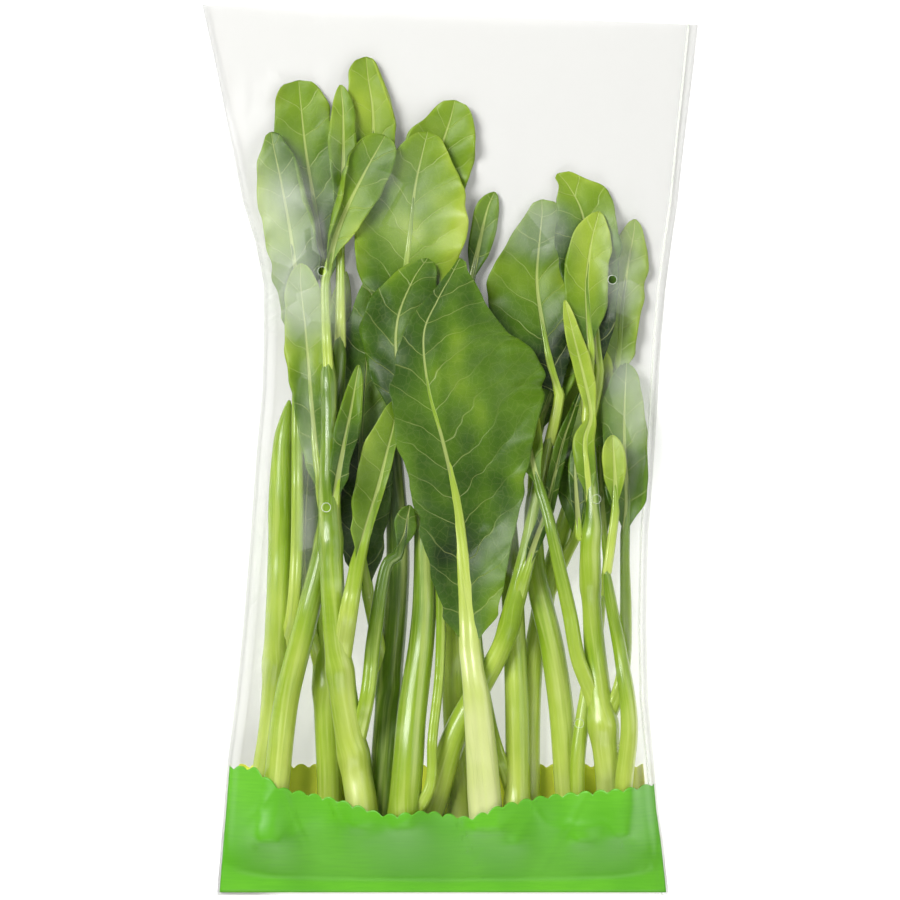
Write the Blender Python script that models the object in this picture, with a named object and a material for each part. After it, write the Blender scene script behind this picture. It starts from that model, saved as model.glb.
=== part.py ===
"""Choy sum bunch: leafy stalks lying in an open bag of clear film.

The bunch lies on its back, as on a table. Seen from above, x runs across it, y runs along it
from the cut ends to the leaf tips, and z is up. Lengths in this file are in millimetres and
MM turns them into metres when a mesh is made.

Every stalk is drawn in plan. Its height comes from stacking: the stalks are laid down one
after another, and each is raised just clear of what already lies below it.
"""

import math

import bmesh
import bpy
import numpy as np

MM = 0.001

# The bag: film thickness, size, the slanted and slightly open mouth, and how the film settles
FILM = 0.6
BAG_HALF_LENGTH = 179.5
SEAL_DEPTH = 5.0
MOUTH_SLANT = 8.0
SLANT_START = 100.0
SLANT_SPAN = 80.0
MOUTH_RISE = 7.0
MOUTH_START = 120.0
MOUTH_SPAN = 50.0
MOUTH_REACH = 60.0
FOOT_RAMP = 26.0
FILM_CLEARANCE = 0.8
# The upper film stays this far above the lower one, and inside the bag's two side folds
LEAST_GAP = 0.35
SIDE_GAP = 1.5 * FILM
FOLD_SHARE = 0.9
FILM_SLOPE = 0.42
SIDE_STEEPNESS = 1.7
BAG_SIDES = [
    # y, left edge, right edge, height of the side folds
    (-179.5, -94.0, 88.3, 0.6),
    (-174.5, -93.6, 87.8, 1.0),
    (-160.0, -92.4, 86.2, 3.5),
    (-145.0, -91.0, 84.0, 5.5),
    (-125.0, -89.5, 82.2, 7.0),
    (-100.0, -86.2, 79.8, 7.0),
    (-70.0, -83.2, 79.2, 7.0),
    (-34.0, -80.3, 79.9, 7.0),
    (0.0, -77.8, 82.5, 7.0),
    (24.0, -75.6, 83.9, 7.0),
    (46.0, -75.0, 85.2, 6.5),
    (66.0, -75.0, 87.0, 6.0),
    (84.0, -78.5, 89.4, 5.0),
    (100.0, -83.5, 91.8, 4.5),
    (120.0, -87.5, 93.8, 4.0),
    (150.0, -93.5, 97.0, 3.5),
    (179.5, -100.0, 100.0, 3.0),
]
# Rings round the film are closer together at its foot, where it comes down over the cut ends
FOOT_END = -135.0
FOOT_STATIONS = 6
BAG_STATIONS = 25
RELAXING_ROUNDS = 160
TOP_FRACTIONS = [0.022, 0.06, 0.12, 0.2, 0.28, 0.36, 0.45, 0.55, 0.64, 0.72, 0.8, 0.88, 0.94, 0.978]
BOTTOM_FRACTIONS = [0.016, 0.25, 0.5, 0.75, 0.984]

# The stacking of the stalks
STALK_CLEARANCE = 0.5
FIRST_LAYER = FILM + 0.1
BEND_SLOPE = 0.4
DRAPE_SLOPE = 0.6
ROOT_REACH = 30.0
RAISING_ROUNDS = 40

# How finely stems and blades are divided
STEM_SIDES = 8
PETIOLE_SIDES = 6
RING_STEP = 17.0
BLADE = 0.8
ROW_STEP = 12.0
BLADE_COLUMNS = [-1.0, -0.55, 0.0, 0.55, 1.0]
BROAD_COLUMNS = [-1.0, -0.7, -0.36, 0.0, 0.36, 0.7, 1.0]
BROAD_HALF_WIDTH = 20.0
TIP_HALF_WIDTH = 1.2
RIB_SHARE = 0.6
RIB_END = 0.7

GREEN_STEM = (0.36, 0.50, 0.09)
GREEN_FRONT = (0.09, 0.19, 0.04)
CLEAR_FILM = (0.80, 0.86, 0.80)

# The stalks, from the one that lies lowest to the one on top.
# A stem or petiole is a list of (x, y, radius), from its thick end outwards.
# A blade is a list of (x, y, half width to its left, half width to its right), foot to tip.
STALKS = [
    {
        "name": "stalk_03",
        "stem": [(-49, -156, 5.2), (-48.5, -136, 5.0), (-50, -92, 5.2), (-50, -44, 4.6),
                 (-47, 0, 4.0), (-46, 40, 3.0), (-50, 64, 2.4)],
        "leaves": [
            {"petiole": [(-50, -52, 3.0), (-50, -38, 2.2)],
             "blade": [(-50, -28, 1.5, 1.5), (-49.5, -8, 4, 4), (-47, 14, 4, 4.5), (-45, 34, 4.5, 5),
                       (-43.5, 54, 5, 4), (-42, 72, 0, 0)],
             "cup": 2.0, "wave": 0.8},
            {"petiole": [(-48, 52, 2.4), (-50, 64, 2.2)],
             "blade": [(-50, 70, 2, 2), (-54, 95, 10, 9), (-58, 120, 14, 13),
                       (-60, 138, 12, 11), (-61, 149, 0, 0)],
             "cup": 3.0, "wave": 1.4},
            {"petiole": [(-50, -96, 3.0), (-55, -76, 2.4)],
             "blade": [(-57, -66, 1.5, 1.5), (-59, -44, 6, 6), (-58, -20, 8, 8), (-56, 4, 7, 7),
                       (-55, 20, 0, 0)],
             "cup": 2.0, "wave": 1.2},
        ],
    },
    {
        "name": "stalk_05",
        "stem": [(-29, -156, 5.0), (-28, -140, 5.0), (-25, -100, 5.0), (-21, -44, 4.6),
                 (-24, 10, 3.6), (-29, 60, 2.8)],
        "leaves": [
            {"petiole": [(-28, 50, 2.6), (-30, 76, 2.2)],
             "blade": [(-31, 88, 2, 2), (-31, 112, 8, 8), (-31, 135, 10.5, 10),
                       (-33, 150, 8, 8), (-34, 158.5, 0, 0)],
             "cup": 2.5, "wave": 1.0},
            {"petiole": [(-25, -96, 3.0), (-30, -72, 2.6)],
             "blade": [(-33, -58, 1.5, 1.5), (-36, -30, 8, 8), (-36, 0, 11, 11), (-34, 30, 11, 11),
                       (-32, 54, 8, 8), (-31, 70, 0, 0)],
             "cup": 2.0, "wave": 1.2},
        ],
    },
    {
        "name": "stalk_07",
        "stem": [(4, -156, 5.0), (2, -115, 4.6), (1, -76, 4.4), (0, 0, 3.8), (-5, 50, 3.0)],
        "leaves": [
            {"petiole": [(-4, 40, 2.8), (-8, 74, 2.2)],
             "blade": [(-8, 84, 2, 2), (-7, 104, 11, 12), (-4, 120, 14, 14),
                       (0, 133, 10, 9.5), (2, 141, 0, 0)],
             "cup": 3.0, "wave": 1.4},
        ],
    },
    {
        "name": "stalk_01",
        "stem": [(-79, -156, 5.0), (-74.5, -128, 5.0), (-71, -100, 5.0), (-68, -44, 5.2),
                 (-67.5, -22, 5.4), (-67, 0, 4.2), (-64.5, 20, 3.4)],
        "leaves": [
            {"petiole": [(-69, -86, 3.2), (-63, -66, 2.8), (-61, -30, 2.6), (-61, 20, 2.4)],
             "blade": [(-60, 40, 2, 2), (-61, 62, 9, 9), (-64, 86, 10.5, 13),
                       (-68, 108, 9.5, 12), (-71, 122, 5, 7), (-72, 128, 0, 0)],
             "cup": 2.5, "wave": 1.8},
        ],
    },
    {
        "name": "stalk_02",
        "stem": [(-73, -156, 5.6), (-70, -136, 5.3), (-65.5, -100, 5.0), (-57.5, -68, 4.6),
                 (-49, -32, 4.2), (-46, 10, 3.4), (-44, 50, 2.6)],
        "leaves": [
            {"petiole": [(-50, -36, 3.0), (-50, -26, 2.4)],
             "blade": [(-51, -20, 2, 2), (-54, 4, 6, 6), (-56, 26, 8, 8),
                       (-58, 48, 9, 8.5), (-60, 66, 6, 7), (-60, 75, 0, 0)],
             "cup": 2.0, "wave": 1.6},
            {"petiole": [(-44, 40, 2.4), (-44, 76, 1.8)],
             "blade": [(-44, 88, 1.5, 1.5), (-43, 115, 5, 5), (-43, 135, 5, 4.5), (-44, 147, 0, 0)],
             "cup": 1.5, "wave": 0.6},
        ],
    },
    {
        "name": "stalk_12",
        "stem": [(33, -156, 4.2), (32, -135, 4.0), (34, -80, 4.0), (46, -30, 3.4), (59, 4, 2.8)],
        "leaves": [
            {"petiole": [(57, -2, 2.6), (64, 16, 2.2)],
             "blade": [(66, 26, 2, 2), (68, 40, 6, 6.5), (69.5, 58, 7.5, 7.5), (72, 76, 8, 7),
                       (74, 87, 5, 4), (74.5, 93, 0, 0)],
             "cup": 2.0, "wave": 1.4},
            {"petiole": [(38, -62, 2.6), (46, -44, 2.2)],
             "blade": [(50, -36, 1.5, 1.5), (54, -14, 9, 9), (54, 10, 11, 11), (52, 34, 10, 10),
                       (50, 54, 0, 0)],
             "cup": 2.0, "wave": 1.2},
        ],
    },
    {
        "name": "stalk_09",
        "stem": [(50, -156, 5.2), (47, -136, 5.0), (45, -108, 5.0), (41, -80, 4.8),
                 (34, -46, 4.2), (34, -10, 3.4)],
        "leaves": [
            {"petiole": [(34, -18, 3.0), (34, -2, 2.2)],
             "blade": [(35, 6, 1.5, 1.5), (39, 18, 5, 6), (44, 32, 6, 7), (50, 46, 0, 0)],
             "cup": 2.0, "wave": 1.2},
        ],
    },
    {
        "name": "stalk_08",
        "stem": [(24, -157, 5.0), (27, -138, 5.0), (26, -80, 4.6), (23, -30, 3.8), (20, -4, 3.0)],
        "leaves": [
            {"petiole": [(26, -142, 3.0), (23, -132, 2.6), (16, -109, 2.5), (10, -70, 2.4),
                         (7, 0, 2.2), (8, 50, 1.8)],
             "blade": [(8, 66, 1, 1), (12, 84, 4.5, 4.5), (15, 97, 4.5, 4.5), (18, 104, 0, 0)],
             "cup": 1.0, "wave": 0.4},
            {"petiole": [(20.5, -10, 3.0), (20, 0, 2.2)],
             "blade": [(20, 8, 1.5, 1.5), (19, 26, 8, 8), (17, 42, 8, 8), (15, 56, 0, 0)],
             "cup": 2.0, "wave": 1.0},
        ],
    },
    {
        "name": "stalk_10",
        "stem": [(-12, -156, 5.4), (-7, -142, 5.4), (3, -112, 5.0), (20, -80, 4.0),
                 (26, -60, 4.0), (32, -36, 3.5), (38, -4, 3.0), (41, 8, 2.8)],
        "leaves": [
            {"petiole": [(40, 2, 2.6), (43, 16, 2.2)],
             "blade": [(44, 22, 3, 2), (40, 36, 18, 8), (37, 52, 20, 11), (35, 68, 19, 12),
                       (36, 84, 13, 12), (37, 94, 8, 9), (37, 101, 0, 0)],
             "cup": 3.0, "wave": 1.6},
            {"petiole": [(23, -70, 3.4), (27, -60, 2.6)],
             "blade": [(29, -52, 1, 1), (33.5, -38, 2.4, 2.4), (38.6, -24, 2.8, 2.8), (42, -10, 3, 3),
                       (45.5, 4, 2.8, 2.8), (49, 14, 2, 2), (52.5, 24, 0, 0)],
             "cup": 1.0, "wave": 0.4},
        ],
    },
    {
        "name": "stalk_06",
        "stem": [(-19, -151, 6.0), (-18, -138, 6.2), (-15, -103, 5.8), (-11.4, -76, 5.0),
                 (-10, -49, 4.6), (-11, 0, 4.0), (-15, 30, 3.2)],
        "leaves": [
            {"petiole": [(-14, 20, 3.2), (-16, 42, 2.8)],
             "blade": [(-17, 52, 3, 3), (-18, 68, 17, 15), (-16, 88, 24, 23), (-14, 106, 20, 21),
                       (-11, 120, 10, 12), (-9, 128, 0, 0)],
             "cup": 3.5, "wave": 2.2},
            {"petiole": [(-16, -148, 3.0), (-8, -134, 2.2), (-7, -115, 2.0), (-4, -86, 2.0),
                         (-4, -50, 2.0)],
             "blade": [(-7, -16, 2, 2), (-15, 12, 7, 8), (-21, 34, 13, 12), (-21, 52, 14, 14),
                       (-15, 68, 9, 10), (-9, 77, 0, 0)],
             "cup": 3.0, "wave": 1.2},
        ],
    },
    {
        "name": "stalk_14",
        "stem": [(53, -156, 3.2), (51, -135, 3.0), (52, -116, 3.0), (58, -80, 2.6), (62, -56, 2.2)],
        "leaves": [
            {"petiole": [(61.5, -60, 2.0), (63, -46, 1.6)],
             "blade": [(62.5, -38, 1, 1), (61.5, -24, 4, 3.5), (60.5, -10, 4.5, 4.5), (60, 2, 0, 0)],
             "cup": 2.0, "wave": 1.0},
        ],
    },
    {
        "name": "stalk_11",
        "stem": [(65, -155, 5.8), (64, -132, 5.6), (61, -109, 5.2), (58.2, -83, 4.4), (56.6, -62, 3.8),
                 (56, -53, 4.4), (56, -38, 3.9), (57, -26, 3.0), (56, -4, 2.6), (55, 14, 2.4)],
        "leaves": [
            {"petiole": [(61, -112, 3.2), (67, -98, 2.8), (70, -84, 2.6), (70.4, -66, 2.4), (70, -46, 2.0)],
             "blade": [(70, -34, 2, 2), (71, -20, 7, 7), (70, 0, 9, 8.5), (70, 14, 9.5, 8.5),
                       (70.5, 26, 7, 7), (71, 35, 0, 0)],
             "cup": 2.0, "wave": 1.6},
            {"petiole": [(55, 8, 2.4), (59, 24, 2.0)],
             "blade": [(60, 32, 2, 2), (58, 58, 9, 9), (56, 80, 13, 13), (53, 96, 10, 14),
                       (48, 106, 5, 8), (43.5, 111.5, 0, 0)],
             "cup": 3.0, "wave": 1.6},
            {"petiole": [(60, -108, 3.4), (56, -96, 3.2), (51, -83, 3.0), (47.7, -65, 2.9),
                         (43, -44, 2.6), (39, -26, 2.2)],
             "blade": [(36, -16, 1.5, 1.5), (33, -4, 6, 4), (31, 10, 7, 5), (30, 24, 0, 0)],
             "cup": 1.5, "wave": 0.8},
            {"petiole": [(53, -34, 2.0), (52.4, -36, 1.6)],
             "blade": [(51.5, -34, 1, 1), (50.5, -18, 2.5, 3.5), (50, -6, 2.5, 3), (51, 4, 0, 0)],
             "cup": 1.0, "wave": 0.5},
            {"petiole": [(55, 10, 2.4), (56, 32, 1.8)],
             "blade": [(56.5, 40, 1.5, 1.5), (55.5, 52, 7.5, 6), (55, 68, 9, 9), (57, 84, 8, 8),
                       (60, 96, 0, 0)],
             "cup": 2.5, "wave": 1.4},
            {"petiole": [(57, -30, 2.4), (56.2, -26, 1.8)],
             "blade": [(56, -23, 1, 1), (54.8, -8, 4, 3.6), (54, 4, 4.6, 4.2), (56.5, 14, 1.8, 1.8),
                       (54, 28, 3.6, 3.8), (50, 44, 3.6, 3.6), (46, 60, 0, 0)],
             "cup": 1.5, "wave": 0.8},
        ],
    },
    {
        "name": "stalk_13",
        "stem": [(68, -154, 3.8), (69.5, -132, 3.6), (71.5, -109, 3.4), (68.4, -83, 2.8),
                 (64, -60, 2.3), (62, -44, 1.8)],
        "leaves": [
            {"petiole": [(62.5, -50, 1.8), (64.8, -34, 1.8)],
             "blade": [(66, -25, 1, 1), (66, -12, 4.5, 4), (65.5, -2, 5, 4.5), (65, 6, 0, 0)],
             "cup": 2.5, "wave": 1.4},
        ],
    },
    {
        "name": "stalk_04",
        "stem": [(-35, -150, 6.2), (-35.5, -142, 6.4), (-37.5, -130, 6.2), (-42, -103, 5.6),
                 (-46, -69, 4.9), (-48, -24, 4.4), (-48, 10, 3.4), (-49, 44, 2.6)],
        "leaves": [
            {"petiole": [(-47.5, -36, 2.8), (-46.8, -28, 2.2)],
             "blade": [(-46.2, -23, 1.5, 1.5), (-44, -8, 4, 4.5), (-41, 8, 5, 5), (-38.5, 22, 3.5, 3.5),
                       (-36.5, 34, 0, 0)],
             "cup": 2.0, "wave": 1.0},
            {"petiole": [(-38.5, -122, 3.4), (-33, -98, 3.0), (-30.5, -76, 3.0), (-26, -48, 2.4)],
             "blade": [(-21, -42, 1, 1), (-18, -34, 5, 5), (-17, -27, 4, 4), (-16, -22, 0, 0)],
             "cup": 1.5, "wave": 1.0},
            {"petiole": [(-44, -88, 3.8), (-41, -68, 3.8), (-38, -52, 3.2)],
             "blade": [(-37, -46, 3, 2.5), (-33.5, -32, 6, 2.5), (-29, -16, 9, 3), (-25.5, -2, 10, 3.5),
                       (-22.5, 10, 7, 3), (-21, 20, 0, 0)],
             "cup": 2.5, "wave": 1.0},
            {"petiole": [(-48.2, 26, 2.2), (-50, 62, 1.8)],
             "blade": [(-49, 72, 1.5, 1.5), (-46, 85, 5, 5), (-41, 98, 9.5, 9.5), (-34, 112, 11.5, 11),
                       (-29, 121, 8, 8), (-26, 126.5, 0, 0)],
             "cup": 3.0, "wave": 1.0},
        ],
    },
    {
        "name": "front_leaf",
        "stem": [],
        "leaves": [
            {"petiole": [(14.5, -151, 6.6), (13.6, -138, 6.6), (11, -103, 5.6), (9, -88, 4.6)],
             "blade": [(8, -80, 5, 6.5), (6.8, -60, 11.5, 13.5), (4.6, -38, 15.5, 21),
                       (2.4, -20, 17.5, 26.5), (-3, 4, 19.5, 37), (-8.5, 24, 15.5, 46),
                       (-10.5, 46, 9, 38), (-5, 60, 4.5, 22), (0.5, 70, 2, 9), (4, 77, 0, 0)],
             "cup": 4.0, "wave": 2.0},
        ],
    },
]

# The grid on which heights are kept: one point each millimetre
HALF_COLUMNS = 110
HALF_ROWS = 190
GRID_SHAPE = (2 * HALF_ROWS + 1, 2 * HALF_COLUMNS + 1)
NOTHING = -1000.0
NEIGHBOURS = [(r, c) for r in (-1, 0, 1) for c in (-1, 0, 1) if (r, c) != (0, 0)]


def shifted(field, rows, columns):
    """The field moved by whole grid steps."""
    height, width = field.shape
    moved = np.full_like(field, NOTHING)
    into = (slice(max(rows, 0), height + min(rows, 0)), slice(max(columns, 0), width + min(columns, 0)))
    out_of = (slice(max(-rows, 0), height + min(-rows, 0)), slice(max(-columns, 0), width + min(-columns, 0)))
    moved[into] = field[out_of]
    return moved


def widened(field, steps):
    """Each grid point takes the highest value within so many steps of it."""
    for _ in range(steps):
        field = np.maximum.reduce([field] + [shifted(field, r, c) for r, c in NEIGHBOURS])
    return field


def spread(field, slope):
    """Hills get skirts, so that nothing falls away more steeply than the slope."""
    for reach in (1, 2, 4, 8, 16, 32, 64):
        for rows, columns in NEIGHBOURS:
            fall = slope * reach * math.hypot(rows, columns)
            field = np.maximum(field, shifted(field, rows * reach, columns * reach) - fall)
    return field


def averaged(field, steps):
    """Each grid point takes the mean of the square around it."""
    for axis in (0, 1):
        field = sum(np.roll(field, step, axis) for step in range(-steps, steps + 1)) / (2 * steps + 1)
    return field


def sample(field, xs, ys):
    """The field's values at any places, read between grid points."""
    columns = np.clip(np.asarray(xs) + HALF_COLUMNS, 0, GRID_SHAPE[1] - 1.001)
    rows = np.clip(np.asarray(ys) + HALF_ROWS, 0, GRID_SHAPE[0] - 1.001)
    column = columns.astype(int)
    row = rows.astype(int)
    across = columns - column
    along = rows - row
    near = field[row, column] * (1 - across) + field[row, column + 1] * across
    far = field[row + 1, column] * (1 - across) + field[row + 1, column + 1] * across
    return near * (1 - along) + far * along


def smoothed(points, step):
    """Places along a smooth curve through the points, about one step apart.

    The first two numbers of a point are its place in plan; the others follow along.
    """
    points = np.array(points, float)
    before = 2 * points[0] - points[1]
    after = 2 * points[-1] - points[-2]
    knots = np.vstack([before, points, after])
    fine = []
    for start in range(1, len(knots) - 2):
        a, b, c, d = knots[start - 1:start + 3]
        for t in np.linspace(0, 1, 24, endpoint=False):
            fine.append(0.5 * (2 * b + (c - a) * t + (2 * a - 5 * b + 4 * c - d) * t ** 2
                               + (3 * b - a - 3 * c + d) * t ** 3))
    fine = np.array(fine + [points[-1]])
    gone = np.concatenate([[0], np.cumsum(np.linalg.norm(np.diff(fine[:, :2], axis=0), axis=1))])
    count = max(2, round(gone[-1] / step) + 1)
    wanted = np.linspace(0, gone[-1], count)
    return np.column_stack([np.interp(wanted, gone, fine[:, k]) for k in range(fine.shape[1])])


def headings(places):
    """Unit vectors in plan along a row of places."""
    steps = np.gradient(places[:, :2], axis=0)
    return steps / np.linalg.norm(steps, axis=1)[:, None]


def ease(value):
    """A soft step from 0 to 1."""
    value = np.clip(value, 0, 1)
    return value * value * (3 - 2 * value)


class Piece:
    """Closed meshes that grow together, with points that are raised in groups."""

    def __init__(self, root):
        self.root = np.array(root, float)
        self.points = np.zeros((0, 3))
        self.group = np.zeros(0, int)
        self.anchors = np.zeros((0, 2))
        self.shells = []

    def new_groups(self, anchors):
        first = len(self.anchors)
        self.anchors = np.vstack([self.anchors, anchors])
        return np.arange(first, first + len(anchors))

    def add(self, points, groups, triangles):
        first = len(self.points)
        self.points = np.vstack([self.points, points])
        self.group = np.concatenate([self.group, groups])
        self.shells.append(np.array(triangles) + first)

    def triangles(self):
        return np.vstack(self.shells)

    def lift(self, amounts):
        self.points[:, 2] += amounts[self.group]


def tube(piece, path, heights, groups, sides):
    """A closed tube with its rings at the path's places and at the given heights."""
    forward = headings(path)
    side = np.column_stack([forward[:, 1], -forward[:, 0]])
    angles = (np.arange(sides) + 0.5) * 2 * math.pi / sides
    points = []
    for place, across, height in zip(path, side, heights):
        radius = place[2] / math.cos(math.pi / sides)
        for angle in angles:
            offset = radius * math.cos(angle)
            points.append((place[0] + offset * across[0], place[1] + offset * across[1],
                           height + radius * math.sin(angle)))
    triangles = []
    for ring in range(len(path) - 1):
        for k in range(sides):
            a = ring * sides + k
            b = ring * sides + (k + 1) % sides
            triangles += [(a, b, b + sides), (a, b + sides, a + sides)]
    last = (len(path) - 1) * sides
    for k in range(1, sides - 1):
        triangles += [(0, k + 1, k), (last, last + k, last + k + 1)]
    piece.add(np.array(points), np.repeat(groups, sides), triangles)


def blade(piece, rows, heights, centre_groups, cup, wave):
    """A thin leaf blade: the same net of triangles above and below, joined round the rim."""
    forward = headings(rows)
    chord = rows[-1, :2] - rows[0, :2]
    forward = forward + 1.2 * chord / np.linalg.norm(chord)
    forward /= np.linalg.norm(forward, axis=1)[:, None]
    side = np.column_stack([forward[:, 1], -forward[:, 0]])
    widest = rows[:, 2:4].max()
    columns = np.array(BROAD_COLUMNS if widest > BROAD_HALF_WIDTH else BLADE_COLUMNS)
    wide = len(columns)
    net = np.zeros((len(rows), wide, 3))
    groups = np.zeros((len(rows), wide), int)
    for i, row in enumerate(rows):
        along = i / (len(rows) - 1)
        half = np.where(columns < 0, max(row[2], TIP_HALF_WIDTH), max(row[3], TIP_HALF_WIDTH))
        reach = columns * half
        net[i, :, 0] = row[0] + reach * side[i, 0]
        net[i, :, 1] = row[1] + reach * side[i, 1]
        ripple = wave * np.sin(2 * math.pi * (along * 2.6 + 0.3 * columns)) * columns ** 2
        net[i, :, 2] = heights[i] + (cup * np.abs(columns) ** 1.4 + ripple) * half / widest
        groups[i] = piece.new_groups(net[i, :, :2])
        groups[i, wide // 2] = centre_groups[i]
    flat = net.reshape(-1, 3)
    above = flat + (0, 0, BLADE / 2)
    below = flat - (0, 0, BLADE / 2)
    triangles = []
    under = len(flat)
    for i in range(len(rows) - 1):
        for j in range(wide - 1):
            a = i * wide + j
            quad = (a, a + 1, a + wide + 1, a + wide)
            if j < wide // 2:
                halves = [(quad[0], quad[1], quad[2]), (quad[0], quad[2], quad[3])]
            else:
                halves = [(quad[0], quad[1], quad[3]), (quad[1], quad[2], quad[3])]
            for p, q, r in halves:
                triangles += [(p, q, r), (p + under, r + under, q + under)]
    rim = [j for j in range(wide)]
    rim += [i * wide + wide - 1 for i in range(1, len(rows))]
    rim += [(len(rows) - 1) * wide + j for j in range(wide - 2, -1, -1)]
    rim += [i * wide for i in range(len(rows) - 2, 0, -1)]
    for p, q in zip(rim, rim[1:] + rim[:1]):
        triangles += [(p, p + under, q + under), (p, q + under, q)]
    piece.add(np.vstack([above, below]), np.tile(groups.reshape(-1), 2), triangles)


def stem_piece(points):
    """The main stem of a stalk, lying at height zero."""
    path = smoothed(points, RING_STEP)
    piece = Piece(path[0, :2])
    tube(piece, path, path[:, 2], piece.new_groups(path[:, :2]), STEM_SIDES)
    return piece


def leaf_piece(leaf, root_height):
    """A leaf: its petiole runs on as the midrib under the first part of the blade."""
    stations = [(x, y, left ** 2, right ** 2) for x, y, left, right in leaf["blade"]]
    rows = smoothed(stations, ROW_STEP)
    rows[:, 2:] = np.sqrt(np.clip(rows[:, 2:], 0, None))
    stalk = leaf["petiole"]
    foot = rows[0]
    foot_radius = 0.85 * stalk[-1][2]
    path = smoothed(stalk + [(foot[0], foot[1], foot_radius)], RING_STEP)
    ribbed = max(2, round(RIB_SHARE * (len(rows) - 1)) + 1)
    rib = np.column_stack([rows[:ribbed, :2], np.linspace(foot_radius, RIB_END, ribbed)])
    path = np.vstack([path[:-1], rib])
    gone = np.concatenate([[0], np.cumsum(np.linalg.norm(np.diff(path[:, :2], axis=0), axis=1))])
    heights = np.maximum(path[:, 2], root_height * (1 - ease(gone / ROOT_REACH)))
    piece = Piece(stalk[0][:2])
    petiole_groups = piece.new_groups(path[:, :2])
    tube(piece, path, heights, petiole_groups, PETIOLE_SIDES)
    beyond = piece.new_groups(rows[ribbed:, :2])
    rib_groups = petiole_groups[len(path) - ribbed:]
    row_heights = np.concatenate([heights[len(path) - ribbed:], np.full(len(rows) - ribbed, RIB_END)])
    blade(piece, rows, row_heights, np.concatenate([rib_groups, beyond]), leaf["cup"], leaf["wave"])
    return piece


def covered(points, triangles):
    """For each triangle: the grid points it covers, its corners' shares in them, and its height."""
    for index, corners in enumerate(triangles):
        (x1, y1, z1), (x2, y2, z2), (x3, y3, z3) = points[corners]
        area = (x2 - x1) * (y3 - y1) - (x3 - x1) * (y2 - y1)
        if abs(area) < 1e-6:
            continue
        xs = np.arange(math.ceil(min(x1, x2, x3)), math.floor(max(x1, x2, x3)) + 1)
        ys = np.arange(math.ceil(min(y1, y2, y3)), math.floor(max(y1, y2, y3)) + 1)
        if not len(xs) or not len(ys):
            continue
        x, y = np.meshgrid(xs, ys)
        first = ((x2 - x) * (y3 - y) - (x3 - x) * (y2 - y)) / area
        second = ((x3 - x) * (y1 - y) - (x1 - x) * (y3 - y)) / area
        third = 1 - first - second
        inside = (first > -1e-6) & (second > -1e-6) & (third > -1e-6)
        if inside.any():
            shares = np.array([first[inside], second[inside], third[inside]])
            yield index, y[inside] + HALF_ROWS, x[inside] + HALF_COLUMNS, shares, shares.T @ (z1, z2, z3)


def top_and_underside(piece):
    """Two height fields: the piece's highest and lowest point over each grid point."""
    top = np.full(GRID_SHAPE, NOTHING)
    underside = np.full(GRID_SHAPE, -NOTHING)
    for _, rows, columns, _, heights in covered(piece.points, piece.triangles()):
        top[rows, columns] = np.maximum(top[rows, columns], heights)
        underside[rows, columns] = np.minimum(underside[rows, columns], heights)
    rows = np.rint(piece.points[:, 1]).astype(int) + HALF_ROWS
    columns = np.rint(piece.points[:, 0]).astype(int) + HALF_COLUMNS
    np.maximum.at(top, (rows, columns), piece.points[:, 2])
    np.minimum.at(underside, (rows, columns), piece.points[:, 2])
    return top, underside


def raise_clear(piece, ground, clearance):
    """Raise the corners of any triangle that still dips into what lies below.

    The corners nearest to the lowest place are raised most, by just what brings it clear.
    """
    limit = widened(ground, 1) + clearance
    triangles = piece.triangles()
    for _ in range(RAISING_ROUNDS):
        amounts = np.zeros(len(piece.anchors))
        for index, rows, columns, shares, heights in covered(piece.points, triangles):
            short = limit[rows, columns] - heights
            worst = short.argmax()
            if short[worst] > 0.02:
                share = shares[:, worst]
                groups = piece.group[triangles[index]]
                np.maximum.at(amounts, groups, 1.05 * short[worst] * share / (share @ share))
        if not amounts.any():
            break
        piece.lift(amounts)


def shape_stalk(stalk):
    """The pieces of a stalk, in the order in which they lie on each other."""
    pieces = []
    if stalk["stem"]:
        pieces.append(stem_piece(stalk["stem"]))
    for leaf in stalk["leaves"]:
        root_height = 0.0
        if stalk["stem"]:
            stem = np.array(stalk["stem"])
            gaps = np.linalg.norm(stem[:, :2] - leaf["petiole"][0][:2], axis=1)
            root_height = stem[gaps.argmin(), 2]
        pieces.append(leaf_piece(leaf, root_height))
    return pieces


def lay_down(pieces, ground):
    """Lay a stalk on what is already there, and return the new height of the pile."""
    need = np.full(GRID_SHAPE, 0.0)
    for piece in pieces:
        _, underside = top_and_underside(piece)
        need = np.maximum(need, widened(ground, 1) + STALK_CLEARANCE - underside)
    bend = averaged(spread(widened(need, 3), BEND_SLOPE), 3)
    pile = np.full(GRID_SHAPE, NOTHING)
    for piece in pieces:
        xs, ys = piece.anchors.T
        piece.lift(sample(bend, xs, ys))
        _, underside = top_and_underside(piece)
        over = np.maximum(widened(pile, 1) + STALK_CLEARANCE - underside, 0.0)
        drape = averaged(spread(widened(over, 2), DRAPE_SLOPE), 2)
        away = np.linalg.norm(piece.anchors - piece.root, axis=1)
        piece.lift(sample(drape, xs, ys) * ease(away / ROOT_REACH))
        raise_clear(piece, ground, STALK_CLEARANCE)
        top, _ = top_and_underside(piece)
        pile = np.maximum(pile, top)
    return np.maximum(ground, pile)


def principled(name, colour, roughness, alpha=1.0):
    """A plain material for one object."""
    material = bpy.data.materials.new(name)
    material.use_nodes = True
    shader = material.node_tree.nodes["Principled BSDF"]
    shader.inputs["Base Color"].default_value = (*colour, 1.0)
    shader.inputs["Roughness"].default_value = roughness
    shader.inputs["Metallic"].default_value = 0.0
    shader.inputs["Alpha"].default_value = alpha
    return material


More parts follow.
